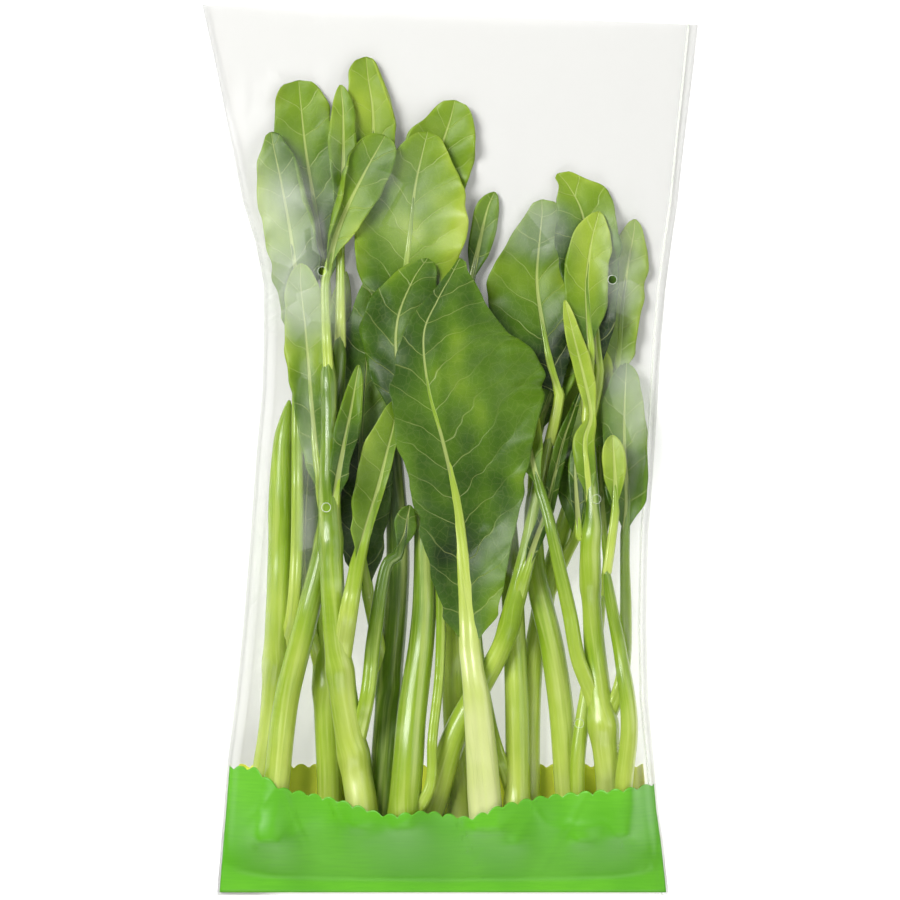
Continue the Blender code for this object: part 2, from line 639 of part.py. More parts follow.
def mesh_object(name, points, polygons):
    """A new object whose faces all point outwards."""
    mesh = bpy.data.meshes.new(name)
    mesh.from_pydata([tuple(p * MM) for p in points], [], [tuple(int(k) for k in f) for f in polygons])
    work = bmesh.new()
    work.from_mesh(mesh)
    bmesh.ops.triangulate(work, faces=work.faces)
    bmesh.ops.recalc_face_normals(work, faces=work.faces)
    work.to_mesh(mesh)
    work.free()
    thing = bpy.data.objects.new(name, mesh)
    bpy.context.scene.collection.objects.link(thing)
    return thing


def shell_object(name, piece, triangles):
    """One closed shell of a piece as an object of its own."""
    used, renumbered = np.unique(triangles, return_inverse=True)
    return mesh_object(name, piece.points[used], renumbered.reshape(-1, 3))


def grow_together(name, pieces, material):
    """One Boolean union joins a stalk's stem, petioles and blades in one body."""
    shells = []
    for piece in pieces:
        for triangles in piece.shells:
            shells.append(shell_object(f"{name}_{len(shells)}", piece, triangles))
    stalk = shells[0]
    others = bpy.data.collections.new(f"{name}_shells")
    bpy.context.scene.collection.children.link(others)
    for shell in shells[1:]:
        bpy.context.scene.collection.objects.unlink(shell)
        others.objects.link(shell)
    union = stalk.modifiers.new("union", "BOOLEAN")
    union.operation = "UNION"
    union.operand_type = "COLLECTION"
    union.collection = others
    union.solver = "EXACT"
    view = bpy.context.evaluated_depsgraph_get()
    fused = bpy.data.meshes.new_from_object(stalk.evaluated_get(view))
    stalk.modifiers.clear()
    stalk.data = fused
    for shell in shells[1:]:
        bpy.data.objects.remove(shell)
    bpy.data.collections.remove(others)
    keep_largest_body(fused)
    fused.materials.clear()
    fused.materials.append(material)
    stalk.name = name
    return stalk


def keep_largest_body(mesh):
    """Drop the loose scraps that a union can leave, and slivers with them."""
    work = bmesh.new()
    work.from_mesh(mesh)
    bmesh.ops.remove_doubles(work, verts=work.verts, dist=0.02 * MM)
    bmesh.ops.dissolve_degenerate(work, edges=work.edges, dist=0.01 * MM)
    bmesh.ops.triangulate(work, faces=work.faces)
    unseen = set(work.verts)
    bodies = []
    while unseen:
        body = {unseen.pop()}
        front = list(body)
        while front:
            vertex = front.pop()
            for edge in vertex.link_edges:
                other = edge.other_vert(vertex)
                if other in unseen:
                    unseen.discard(other)
                    body.add(other)
                    front.append(other)
        bodies.append(body)
    bodies.sort(key=len)
    if len(bodies) > 1:
        print("loose bodies dropped:", [len(body) for body in bodies[:-1]])
    for body in bodies[:-1]:
        bmesh.ops.delete(work, geom=list(body), context="VERTS")
    bmesh.ops.recalc_face_normals(work, faces=work.faces)
    work.to_mesh(mesh)
    work.free()


def bag_side(ys, k):
    """A column of the table of the bag's sides, read at any y."""
    table = np.array(BAG_SIDES)
    return np.interp(ys, table[:, 0], table[:, k])


def film_map(ground):
    """The height of the upper film over each grid point.

    It starts as a tent over the stalks, and settles like a tight sheet: each place takes the mean
    of its neighbours, but stays above the stalks and below a slope that rises from the side folds.
    """
    xs, ys = np.meshgrid(np.arange(GRID_SHAPE[1]) - HALF_COLUMNS, np.arange(GRID_SHAPE[0]) - HALF_ROWS)
    to_side = np.minimum(xs - bag_side(ys, 1), bag_side(ys, 2) - xs)
    steep = bag_side(ys, 3) + SIDE_STEEPNESS * np.clip(to_side, 0, None)
    opening = MOUTH_RISE * ease((ys - MOUTH_START) / MOUTH_SPAN) * ease(to_side / MOUTH_REACH)
    closing = ease((ys + BAG_HALF_LENGTH - SEAL_DEPTH) / FOOT_RAMP)
    lowest = widened(ground, 1) + FILM_CLEARANCE
    highest = np.maximum(steep * closing, lowest)
    film = np.clip(np.maximum(spread(ground, FILM_SLOPE), opening), lowest, highest)
    for _ in range(RELAXING_ROUNDS):
        film = np.clip(averaged(film, 1), lowest, highest)
    return film


def upper_film(ground):
    """The inner face of the upper film: its points in rows, how many rows, and how many in a row."""
    film = film_map(ground)
    foot = np.linspace(SEAL_DEPTH - BAG_HALF_LENGTH, FOOT_END, FOOT_STATIONS, endpoint=False)
    stations = np.concatenate([foot, np.linspace(FOOT_END, BAG_HALF_LENGTH, BAG_STATIONS)])
    fractions = np.array([0.0] + TOP_FRACTIONS + [1.0])
    columns = len(fractions)
    points = []
    for y in stations:
        left = bag_side(y, 1) + SIDE_GAP
        right = bag_side(y, 2) - SIDE_GAP
        fold = bag_side(y, 3)
        for k, fraction in enumerate(fractions):
            x = left + (right - left) * fraction
            height = fold if k in (0, columns - 1) else max(sample(film, x, y), FOLD_SHARE * fold)
            slant = -MOUTH_SLANT * ease((y - SLANT_START) / SLANT_SPAN) * fraction
            points.append((x, y + slant, max(float(height), FILM + LEAST_GAP)))
    triangles = []
    for i in range(len(stations) - 1):
        for j in range(columns - 1):
            a = i * columns + j
            triangles += [(a, a + 1, a + columns), (a + 1, a + columns + 1, a + columns)]
    points = np.array(points)
    sheet = Piece((0, 0))
    sheet.add(points, sheet.new_groups(points[:, :2]), triangles)
    raise_clear(sheet, np.maximum(ground, 0.0), FILM_CLEARANCE)
    return sheet, len(stations), columns


def bag_object(ground, material):
    """The bag: a tube of film, flat below, draped over the stalks above, open at the mouth."""
    sheet, stations, columns = upper_film(ground)
    corners = sheet.points[sheet.triangles()]
    facing = np.cross(corners[:, 1] - corners[:, 0], corners[:, 2] - corners[:, 0])
    normals = np.zeros_like(sheet.points)
    for k in range(3):
        np.add.at(normals, sheet.triangles()[:, k], facing)
    normals /= np.linalg.norm(normals, axis=1)[:, None]
    outer_sheet = sheet.points + normals * FILM

    inner_rings = []
    outer_rings = []
    for i in range(stations):
        row = slice(i * columns, (i + 1) * columns)
        inner = sheet.points[row][::-1]
        outer = outer_sheet[row][::-1].copy()
        outer[0] = inner[0] + (SIDE_GAP, 0, 0)
        outer[-1] = inner[-1] - (SIDE_GAP, 0, 0)
        left, right = inner[-1], inner[0]
        floor = []
        for fraction in BOTTOM_FRACTIONS:
            place = left + (right - left) * fraction
            floor.append((place[0], place[1], 0.0))
        floor = np.array(floor)
        inner_rings.append(np.vstack([floor + (0, 0, FILM), inner]))
        outer_rings.append(np.vstack([floor, outer]))

    flat_end = outer_rings[0].copy()
    flat_end[:, 1] = -BAG_HALF_LENGTH
    flat_end[len(BOTTOM_FRACTIONS):, 2] = 2 * FILM
    flat_end[len(BOTTOM_FRACTIONS), 2] = FILM
    flat_end[-1, 2] = FILM
    outer_rings.insert(0, flat_end)

    around = len(inner_rings[0])
    points = np.vstack(outer_rings + inner_rings)
    faces = []
    for ring in range(len(outer_rings) - 1):
        for k in range(around):
            a = ring * around + k
            b = ring * around + (k + 1) % around
            faces += [(a, b, b + around), (a, b + around, a + around)]
    first_inner = len(outer_rings) * around
    for ring in range(len(inner_rings) - 1):
        for k in range(around):
            a = first_inner + ring * around + k
            b = first_inner + ring * around + (k + 1) % around
            faces += [(a, b + around, b), (a, a + around, b + around)]
    outer_mouth = first_inner - around
    inner_mouth = len(points) - around
    for k in range(around):
        n = (k + 1) % around
        faces += [(outer_mouth + k, outer_mouth + n, inner_mouth + n),
                  (outer_mouth + k, inner_mouth + n, inner_mouth + k)]
    faces.append(tuple(range(around)))
    faces.append(tuple(first_inner + k for k in range(around)))
    bag = mesh_object("bag", points, faces)
    bag.data.materials.append(material)
    return bag


def main():
    for thing in list(bpy.data.objects):
        bpy.data.objects.remove(thing)
    ground = np.full(GRID_SHAPE, FIRST_LAYER)
    for stalk in STALKS:
        pieces = shape_stalk(stalk)
        ground = lay_down(pieces, ground)
        colour = GREEN_STEM if stalk["stem"] else GREEN_FRONT
        material = principled(stalk["name"], colour, 0.45)
        fused = grow_together(stalk["name"], pieces, material)
        print(stalk["name"], "triangles", len(fused.data.polygons), "top", round(float(ground.max()), 1))
    film = principled("bag", CLEAR_FILM, 0.15, alpha=0.3)
    bag = bag_object(ground, film)
    print("bag triangles", len(bag.data.polygons))


main()
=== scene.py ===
# %% [markdown]
# # Choy sum in a clear bag
# This notebook dresses a plain CAD model of a bunch of choy sum. The CAD model already says where
# every stalk and the bag lie, so nothing is moved here. Each plain solid gets a finer piece in its
# place: stems with ribs and cut ends, leaves with veins and waves, and a film that light passes.
#
# Lengths are in millimetres until a mesh is made, because stems and veins are easy to think of
# that way. Blender works in metres, so `MM` turns one into the other.

# %% Load the frame
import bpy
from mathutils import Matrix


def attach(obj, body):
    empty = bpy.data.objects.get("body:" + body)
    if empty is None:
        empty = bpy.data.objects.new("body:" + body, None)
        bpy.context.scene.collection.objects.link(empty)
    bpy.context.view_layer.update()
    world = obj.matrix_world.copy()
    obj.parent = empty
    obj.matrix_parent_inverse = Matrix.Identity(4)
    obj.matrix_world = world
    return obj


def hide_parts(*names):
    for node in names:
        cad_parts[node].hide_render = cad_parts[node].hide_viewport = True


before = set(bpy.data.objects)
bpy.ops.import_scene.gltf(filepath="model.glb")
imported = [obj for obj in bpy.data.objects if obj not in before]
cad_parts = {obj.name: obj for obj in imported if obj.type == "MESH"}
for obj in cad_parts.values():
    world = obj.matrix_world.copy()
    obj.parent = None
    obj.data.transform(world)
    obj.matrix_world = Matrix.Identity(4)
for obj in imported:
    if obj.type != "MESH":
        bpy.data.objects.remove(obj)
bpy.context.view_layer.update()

import math

import bpy
import numpy as np

MM = 0.001

# %% [markdown]
# ## The layout
# A bunch in a bag is a pile. What the eye reads first is where each stem runs and which leaf lies
# on which. It could be scattered by a random rule, but this bunch has a shape of its own, so the
# stalks are drawn one by one, from the one that lies lowest to the one on top.
#
# A stem or petiole is a list of (x, y, radius), from its thick end outwards. A blade is a list of
# (x, y, half width to its left, half width to its right), from foot to tip. The other words are:
#
# - `cup` lifts a blade's edges and `wave` ruffles them, both in millimetres.
# - `tone` runs from 0, yellow and pale, to 1, deep green. `shade` is painted shade: how much deeper
#   a blade is at its foot, where other leaves overlap it. `petiole_tone` is the petiole's own
#   tone, where it doesn't follow its blade's.
# - `blunt` rounds a blade's ends. At 1 they would be pointed, and 2 is what a leaf has without it.
# - `fold` turns one margin over: (1 for the right side or -1 for the left, the share of the half
#   width where it turns, how far along the blade it is deepest).

# %% The stalks, from the lowest to the top one
STALKS = [
    {
        "name": "stalk_03",
        "tone": 0.42,
        "stem": [(-49, -156, 5.2), (-48.5, -136, 5.0), (-50, -92, 5.2), (-50, -44, 4.6),
                 (-47, 0, 4.0), (-46, 40, 3.0), (-50, 64, 2.4)],
        "leaves": [
            {"petiole": [(-50, -52, 3.0), (-50, -38, 2.2)],
             "blade": [(-50, -28, 1.5, 1.5), (-49.5, -8, 4, 4), (-47, 14, 4, 4.5), (-45, 34, 4.5, 5),
                       (-43.5, 54, 5, 4), (-42, 72, 0, 0)],
             "cup": 2.0, "wave": 0.8, "tone": 0.55},
            {"petiole": [(-48, 52, 2.4), (-50, 64, 2.2)],
             "blade": [(-50, 66, 4, 4), (-52, 80, 9, 9), (-54, 95, 11, 11), (-58, 120, 14, 13),
                       (-60, 138, 12, 11), (-61, 149, 0, 0)],
             "cup": 3.0, "wave": 2.6, "tone": 0.74, "shade": 0.05, "blunt": 3.4},
            {"petiole": [(-50, -96, 3.0), (-55, -76, 2.4)],
             "blade": [(-57, -66, 1.5, 1.5), (-59, -44, 6, 6), (-58, -20, 8, 8), (-56, 4, 7, 7),
                       (-55, 20, 0, 0)],
             "cup": 2.0, "wave": 1.2, "tone": 0.66},
        ],
    },
    {
        "name": "stalk_05",
        "tone": 0.72,
        "stem": [(-29, -156, 5.0), (-28, -140, 5.0), (-25, -100, 5.0), (-21, -44, 4.6),
                 (-24, 10, 3.6), (-29, 60, 2.8)],
        "leaves": [
            {"petiole": [(-28, 50, 2.6), (-30, 76, 2.2)],
             "blade": [(-31, 88, 2, 2), (-31, 112, 8, 8), (-31, 135, 10.5, 10),
                       (-33, 150, 8, 8), (-34, 158.5, 0, 0)],
             "cup": 2.5, "wave": 2.2, "tone": 0.6, "shade": 0.35, "blunt": 3.0,
             "fold": (1, 0.72, 0.9)},
            {"petiole": [(-25, -96, 3.0), (-30, -72, 2.6)],
             "blade": [(-33, -58, 1.5, 1.5), (-36, -30, 10, 10), (-36, 0, 13, 13), (-34, 30, 13, 13),
                       (-32, 54, 8, 8), (-31, 70, 0, 0)],
             "cup": 2.0, "wave": 1.2, "tone": 0.85},
        ],
    },
    {
        "name": "stalk_07",
        "stem": [(4, -156, 5.0), (2, -115, 4.6), (1, -76, 4.4), (0, 0, 3.8), (-5, 50, 3.0)],
        "leaves": [
            {"petiole": [(-4, 40, 2.8), (-8, 74, 2.2)],
             "blade": [(-8, 84, 2, 2), (-7, 104, 11, 12), (-4, 120, 14, 14),
                       (0, 133, 10, 9.5), (2, 141, 0, 0)],
             "cup": 3.0, "wave": 2.8, "tone": 0.68, "shade": 0.3, "blunt": 2.8},
        ],
    },
    {
        "name": "stalk_01",
        "stem": [(-79, -156, 5.0), (-74.5, -128, 5.0), (-71, -100, 5.0), (-68, -44, 5.2),
                 (-67.5, -22, 5.4), (-67, 0, 4.2), (-64.5, 20, 3.4)],
        "leaves": [
            {"petiole": [(-69, -86, 3.2), (-63, -66, 2.8), (-61, -30, 2.6), (-61, 20, 2.4)],
             "blade": [(-60, 40, 2, 2), (-61, 62, 9, 9), (-64, 86, 10.5, 13),
                       (-68, 108, 9.5, 12), (-71, 122, 5, 7), (-72, 128, 0, 0)],
             "cup": 2.5, "wave": 2.6, "tone": 0.56, "shade": 0.15, "blunt": 2.6,
             "fold": (1, 0.75, 0.7)},
        ],
    },
    {
        "name": "stalk_02",
        "stem": [(-73, -156, 5.6), (-70, -136, 5.3), (-65.5, -100, 5.0), (-57.5, -68, 4.6),
                 (-49, -32, 4.2), (-46, 10, 3.4), (-44, 50, 2.6)],
        "leaves": [
            {"petiole": [(-50, -36, 3.0), (-50, -26, 2.4)],
             "blade": [(-51, -20, 2, 2), (-54, 4, 6, 6), (-56, 26, 8, 8),
                       (-58, 48, 9, 8.5), (-60, 66, 6, 7), (-60, 75, 0, 0)],
             "cup": 2.0, "wave": 1.6, "tone": 0.52},
            {"petiole": [(-44, 40, 2.4), (-44, 76, 1.8)],
             "blade": [(-44, 88, 1.5, 1.5), (-43, 115, 5, 5), (-43, 135, 5, 4.5), (-44, 147, 0, 0)],
             "cup": 1.5, "wave": 0.6, "tone": 0.50},
        ],
    },
    {
        "name": "stalk_12",
        "stem": [(33, -156, 4.2), (32, -135, 4.0), (34, -80, 4.0), (46, -30, 3.4), (59, 4, 2.8)],
        "leaves": [
            {"petiole": [(57, -2, 2.6), (64, 16, 2.2)],
             "blade": [(66, 26, 2, 2), (68, 40, 6, 6.5), (69.5, 58, 7.5, 7.5), (72, 76, 8, 7),
                       (74, 87, 5, 4), (74.5, 93, 0, 0)],
             "cup": 2.0, "wave": 1.4, "tone": 0.60},
            {"petiole": [(38, -62, 2.6), (46, -44, 2.2)],
             "blade": [(50, -36, 1.5, 1.5), (54, -14, 10, 10), (54, 10, 13, 13), (52, 34, 12, 12),
                       (50, 54, 0, 0)],
             "cup": 2.0, "wave": 1.2, "tone": 0.62},
        ],
    },
    {
        "name": "stalk_09",
        "stem": [(50, -156, 5.2), (47, -136, 5.0), (45, -108, 5.0), (41, -80, 4.8),
                 (34, -46, 4.2), (34, -10, 3.4)],
        "leaves": [
            {"petiole": [(34, -18, 3.0), (34, -2, 2.2)],
             "blade": [(35, 6, 1.5, 1.5), (39, 18, 5, 6), (44, 32, 6, 7), (50, 46, 0, 0)],
             "cup": 2.0, "wave": 1.2, "tone": 0.62},
        ],
    },
    {
        "name": "stalk_08",
        "stem": [(24, -157, 5.0), (27, -138, 5.0), (26, -80, 4.6), (23, -30, 3.8), (20, -4, 3.0)],
        "leaves": [
            {"petiole": [(26, -142, 3.0), (23, -132, 2.6), (16, -109, 2.5), (10, -70, 2.4),
                         (7, 0, 2.2), (8, 50, 1.8)],
             "blade": [(8, 66, 1, 1), (12, 84, 4.5, 4.5), (15, 97, 4.5, 4.5), (18, 104, 0, 0)],
             "cup": 1.0, "wave": 0.4, "tone": 0.80},
            {"petiole": [(20.5, -10, 3.0), (20, 0, 2.2)],
             "blade": [(20, 8, 1.5, 1.5), (19, 26, 8, 8), (17, 42, 8, 8), (15, 56, 0, 0)],
             "cup": 2.0, "wave": 1.0, "tone": 0.72},
        ],
    },
    {
        "name": "stalk_10",
        "stem": [(-12, -156, 5.4), (-7, -142, 5.4), (3, -112, 5.0), (20, -80, 4.0),
                 (26, -60, 4.0), (32, -36, 3.5), (38, -4, 3.0), (41, 8, 2.8)],
        "leaves": [
            {"petiole": [(40, 2, 2.6), (43, 16, 2.2)],
             "blade": [(44, 22, 3, 2), (40, 36, 18, 8), (37, 52, 20, 11), (35, 68, 19, 12),
                       (36, 84, 13, 12), (37, 94, 8, 9), (37, 101, 0, 0)],
             "cup": 3.0, "wave": 2.6, "tone": 0.62, "shade": 0.7, "blunt": 2.6},
            {"petiole": [(23, -70, 3.4), (27, -60, 2.6)],
             "blade": [(29, -52, 1, 1), (33.5, -38, 2.4, 2.4), (38.6, -24, 2.8, 2.8), (42, -10, 3, 3),
                       (45.5, 4, 2.8, 2.8), (49, 14, 2, 2), (52.5, 24, 0, 0)],
             "cup": 1.0, "wave": 0.4, "tone": 0.80},
        ],
    },
    {
        "name": "stalk_06",
        "stem": [(-19, -151, 6.0), (-18, -138, 6.2), (-15, -103, 5.8), (-11.4, -76, 5.0),
                 (-10, -49, 4.6), (-11, 0, 4.0), (-15, 30, 3.2)],
        "tone": 0.52,
        "leaves": [
            {"petiole": [(-14, 20, 3.2), (-16, 42, 2.8)],
             "blade": [(-17, 52, 3, 3), (-18, 68, 17, 15), (-16, 88, 24, 23), (-14, 106, 20, 21),
                       (-11, 120, 10, 12), (-9, 128, 0, 0)],
             "cup": 3.5, "wave": 2.8, "tone": 0.46, "shade": 0.25, "blunt": 2.4},
            {"petiole": [(-16, -148, 3.0), (-8, -134, 2.2), (-7, -115, 2.0), (-4, -86, 2.0),
                         (-4, -50, 2.0)],
             "blade": [(-7, -16, 2, 2), (-15, 12, 7, 8), (-21, 34, 13, 12), (-21, 52, 14, 14),
                       (-15, 68, 9, 10), (-9, 77, 0, 0)],
             "cup": 3.0, "wave": 2.4, "tone": 0.78},
        ],
    },
    {
        "name": "stalk_14",
        "stem": [(53, -156, 3.2), (51, -135, 3.0), (52, -116, 3.0), (58, -80, 2.6), (62, -56, 2.2)],
        "leaves": [
            {"petiole": [(61.5, -60, 2.0), (63, -46, 1.6)],
             "blade": [(62.5, -38, 1, 1), (61.5, -24, 4, 3.5), (60.5, -10, 4.5, 4.5), (60, 2, 0, 0)],
             "cup": 2.0, "wave": 1.0, "tone": 0.62},
        ],
    },
    {
        "name": "stalk_11",
        "stem": [(65, -155, 5.8), (64, -132, 5.6), (61, -109, 5.2), (58.2, -83, 4.4), (56.6, -62, 3.8),
                 (56, -53, 4.4), (56, -38, 3.9), (57, -26, 3.0), (56, -4, 2.6), (55, 14, 2.4)],
        "leaves": [
            {"petiole": [(61, -112, 3.2), (67, -98, 2.8), (70, -84, 2.6), (70.4, -66, 2.4),
                         (70, -46, 2.0)],
             "blade": [(70, -34, 2, 2), (71, -20, 7, 7), (70, 0, 9, 8.5), (70, 14, 9.5, 8.5),
                       (70.5, 26, 7, 7), (71, 35, 0, 0)],
             "cup": 2.0, "wave": 1.6, "tone": 0.74},
            {"petiole": [(55, 8, 2.4), (59, 24, 2.0)],
             "blade": [(60, 32, 2, 2), (58, 58, 9, 9), (56, 80, 13, 13), (53, 96, 10, 14),
                       (48, 106, 5, 8), (43.5, 111.5, 0, 0)],
             "cup": 3.0, "wave": 2.4, "tone": 0.68, "shade": 0.4, "blunt": 2.6},
            {"petiole": [(60, -108, 3.4), (56, -96, 3.2), (51, -83, 3.0), (47.7, -65, 2.9),
                         (43, -44, 2.6), (39, -26, 2.2)],
             "blade": [(36, -16, 1.5, 1.5), (33, -4, 6, 4), (31, 10, 7, 5), (30, 24, 0, 0)],
             "cup": 1.5, "wave": 0.8, "tone": 0.60},
            {"petiole": [(53, -34, 2.0), (52.4, -36, 1.6)],
             "blade": [(51.5, -34, 1, 1), (50.5, -18, 2.5, 3.5), (50, -6, 2.5, 3), (51, 4, 0, 0)],
             "cup": 1.0, "wave": 0.5, "tone": 0.80},
            {"petiole": [(55, 10, 2.4), (56, 32, 1.8)],
             "blade": [(56.5, 40, 1.5, 1.5), (55.5, 52, 7.5, 6), (55, 68, 9, 9), (57, 84, 8, 8),
                       (60, 96, 0, 0)],
             "cup": 2.5, "wave": 1.4, "tone": 0.60},
            {"petiole": [(57, -30, 2.4), (56.2, -26, 1.8)],
             "blade": [(56, -23, 1, 1), (54.8, -8, 4, 3.6), (54, 4, 4.6, 4.2), (56.5, 14, 1.8, 1.8),
                       (54, 28, 3.6, 3.8), (50, 44, 3.6, 3.6), (46, 60, 0, 0)],
             "cup": 1.5, "wave": 0.8, "tone": 0.30},
        ],
    },
    {
        "name": "stalk_13",
        "stem": [(68, -154, 3.8), (69.5, -132, 3.6), (71.5, -109, 3.4), (68.4, -83, 2.8),
                 (64, -60, 2.3), (62, -44, 1.8)],
        "leaves": [
            {"petiole": [(62.5, -50, 1.8), (64.8, -34, 1.8)],
             "blade": [(66, -25, 1, 1), (66, -12, 4.5, 4), (65.5, -2, 5, 4.5), (65, 6, 0, 0)],
             "cup": 2.5, "wave": 1.4, "tone": 0.35},
        ],
    },
    {
        "name": "stalk_04",
        "stem": [(-35, -150, 6.2), (-35.5, -142, 6.4), (-37.5, -130, 6.2), (-42, -103, 5.6),
                 (-46, -69, 4.9), (-48, -24, 4.4), (-48, 10, 3.4), (-49, 44, 2.6)],
        "leaves": [
            {"petiole": [(-47.5, -36, 2.8), (-46.8, -28, 2.2)],
             "blade": [(-46.2, -23, 1.5, 1.5), (-44, -8, 4, 4.5), (-41, 8, 5, 5), (-38.5, 22, 3.5, 3.5),
                       (-36.5, 34, 0, 0)],
             "cup": 2.0, "wave": 1.0, "tone": 0.60},
            {"petiole": [(-38.5, -122, 3.4), (-33, -98, 3.0), (-30.5, -76, 3.0), (-26, -48, 2.4)],
             "blade": [(-21, -42, 1, 1), (-18, -34, 5, 5), (-17, -27, 4, 4), (-16, -22, 0, 0)],
             "cup": 1.5, "wave": 1.0, "tone": 0.78},
            {"petiole": [(-44, -88, 3.8), (-41, -68, 3.8), (-38, -52, 3.2)],
             "blade": [(-37, -46, 3, 2.5), (-33.5, -32, 6, 2.5), (-29, -16, 9, 3), (-25.5, -2, 10, 3.5),
                       (-22.5, 10, 7, 3), (-21, 20, 0, 0)],
             "cup": 2.5, "wave": 1.0, "tone": 0.50},
            {"petiole": [(-48.2, 26, 2.2), (-50, 62, 1.8)],
             "blade": [(-49, 72, 1.5, 1.5), (-46, 85, 5, 5), (-41, 98, 9.5, 9.5), (-34, 112, 11.5, 11),
                       (-29, 121, 8, 8), (-26, 126.5, 0, 0)],
             "cup": 3.0, "wave": 1.2, "tone": 0.58, "shade": -0.15, "blunt": 2.6,
             "fold": (-1, 0.6, 0.4)},
        ],
    },
    {
        "name": "front_leaf",
        "stem": [],
        "leaves": [
            {"petiole": [(14.5, -151, 6.6), (13.6, -138, 6.6), (11, -103, 5.6), (9, -88, 4.6)],
             "blade": [(8, -80, 5, 6.5), (6.8, -60, 11.5, 13.5), (4.6, -38, 15.5, 21),
                       (2.4, -20, 17.5, 26.5), (-3, 4, 19.5, 37), (-8.5, 24, 15.5, 46),
                       (-10.5, 46, 9, 38), (-5, 60, 4.5, 22), (0.5, 70, 2, 9), (4, 77, 0, 0)],
             "cup": 4.0, "wave": 2.4, "tone": 0.76, "shade": 0.06, "petiole_tone": -0.02},
        ],
    },
]

names = [stalk["name"] for stalk in STALKS]
missing = sorted(set(names) - set(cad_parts))
leaf_count = sum(len(stalk["leaves"]) for stalk in STALKS)
print(len(STALKS), "stalks,", leaf_count, "leaves; not in the frame:", missing)

# %% [markdown]
# ## Smooth curves
# A few given points have to become a smooth stem. A Blender curve object would do that, but
# the same path is needed again for the leaf, the midrib and the pile's height, so the curve is
# worked out here. A Catmull-Rom curve passes through every point that was drawn.

# %% Curves through points
FINE_STEPS = 24


def smoothed(points, step):
    """Places along a smooth curve through the points, about one step apart."""
    points = np.array(points, float)
    knots = np.vstack([2 * points[0] - points[1], points, 2 * points[-1] - points[-2]])
    fine = []
    for start in range(1, len(knots) - 2):
        a, b, c, d = knots[start - 1:start + 3]
        for t in np.linspace(0, 1, FINE_STEPS, endpoint=False):
            fine.append(0.5 * (2 * b + (c - a) * t + (2 * a - 5 * b + 4 * c - d) * t ** 2
                               + (3 * b - a - 3 * c + d) * t ** 3))
    fine = np.array(fine + [points[-1]])
    gone = travelled(fine)
    wanted = np.linspace(0, gone[-1], max(2, round(gone[-1] / step) + 1))
    return np.column_stack([np.interp(wanted, gone, fine[:, k]) for k in range(fine.shape[1])])


def travelled(path):
    """How far along a path each of its places is, in plan."""
    return np.concatenate([[0], np.cumsum(np.linalg.norm(np.diff(path[:, :2], axis=0), axis=1))])


def headings(path):
    """Unit vectors in plan along a path."""
    steps = np.gradient(path[:, :2], axis=0)
    return steps / np.linalg.norm(steps, axis=1)[:, None]


def ease(value):
    """A soft step from 0 to 1."""
    value = np.clip(value, 0, 1)
    return value * value * (3 - 2 * value)


sample_path = smoothed(STALKS[0]["stem"], 10)
print("first stem:", len(sample_path), "places over", round(travelled(sample_path)[-1]), "mm")

# %% [markdown]
# ## Smooth random hills
# Nothing that grew is exactly regular. Noise could come from a shader, but leaves and film should
# really be uneven, so that their edges show it too. This makes hills by blending between random
# numbers on a lattice. Each use has its own seed, so that every run gives the same bunch.

# %% Seeded noise
LATTICE = 64


def hills(xs, ys, size, seed):
    """Smooth random heights between -1 and 1, each hill about so many millimetres across."""
    lattice = np.random.default_rng(seed).uniform(-1, 1, (LATTICE, LATTICE))
    u = np.asarray(xs, float) / size
    v = np.asarray(ys, float) / size
    column = np.floor(u).astype(int)
    row = np.floor(v).astype(int)
    across = ease(u - column)
    along = ease(v - row)
    near = lattice[row % LATTICE, column % LATTICE] * (1 - across)
    near += lattice[row % LATTICE, (column + 1) % LATTICE] * across
    far = lattice[(row + 1) % LATTICE, column % LATTICE] * (1 - across)
    far += lattice[(row + 1) % LATTICE, (column + 1) % LATTICE] * across
    return near * (1 - along) + far * along


print("two heights:", np.round(hills([0, 7], [0, 3], 10, 1), 2))

# %% [markdown]
# ## A map of heights
# A pile is easy to keep as a map: one height for each square millimetre seen from above. Laying a
# stalk down then means raising it just clear of the map, and drawing its own top into the map
# afterwards. Blender's rigid body solver could drop the stalks instead, but it would also roll
# them away from where the photograph shows them.

# %% Height maps
HALF_COLUMNS = 110
HALF_ROWS = 190
GRID_SHAPE = (2 * HALF_ROWS + 1, 2 * HALF_COLUMNS + 1)
NOTHING = -1000.0
JUST_INSIDE = 1.001
REACHES = (1, 2, 4, 8, 16, 32, 64)
NEIGHBOURS = [(r, c) for r in (-1, 0, 1) for c in (-1, 0, 1) if (r, c) != (0, 0)]
GRID_X, GRID_Y = np.meshgrid(np.arange(GRID_SHAPE[1]) - HALF_COLUMNS,
                             np.arange(GRID_SHAPE[0]) - HALF_ROWS)


def overlap(length, step):
    """The part of a line of cells that another line covers when that one is moved by a step."""
    return slice(max(step, 0), length + min(step, 0))


def shifted(field, rows, columns):
    """The map moved by whole steps."""
    height, width = field.shape
    moved = np.full_like(field, NOTHING)
    source = field[overlap(height, -rows), overlap(width, -columns)]
    moved[overlap(height, rows), overlap(width, columns)] = source
    return moved


def widened(field, steps):
    """Each place takes the highest value within so many steps of it."""
    for _ in range(steps):
        field = np.maximum.reduce([field] + [shifted(field, r, c) for r, c in NEIGHBOURS])
    return field


def spread(field, slope):
    """Hills get skirts, so that nothing falls away more steeply than the slope."""
    for reach in REACHES:
        for rows, columns in NEIGHBOURS:
            fall = slope * reach * math.hypot(rows, columns)
            field = np.maximum(field, shifted(field, rows * reach, columns * reach) - fall)
    return field


def averaged(field, steps):
    """Each place takes the mean of the square around it."""
    count = 2 * steps + 1
    for axis in (0, 1):
        field = sum(np.roll(field, step, axis) for step in range(-steps, steps + 1)) / count
    return field


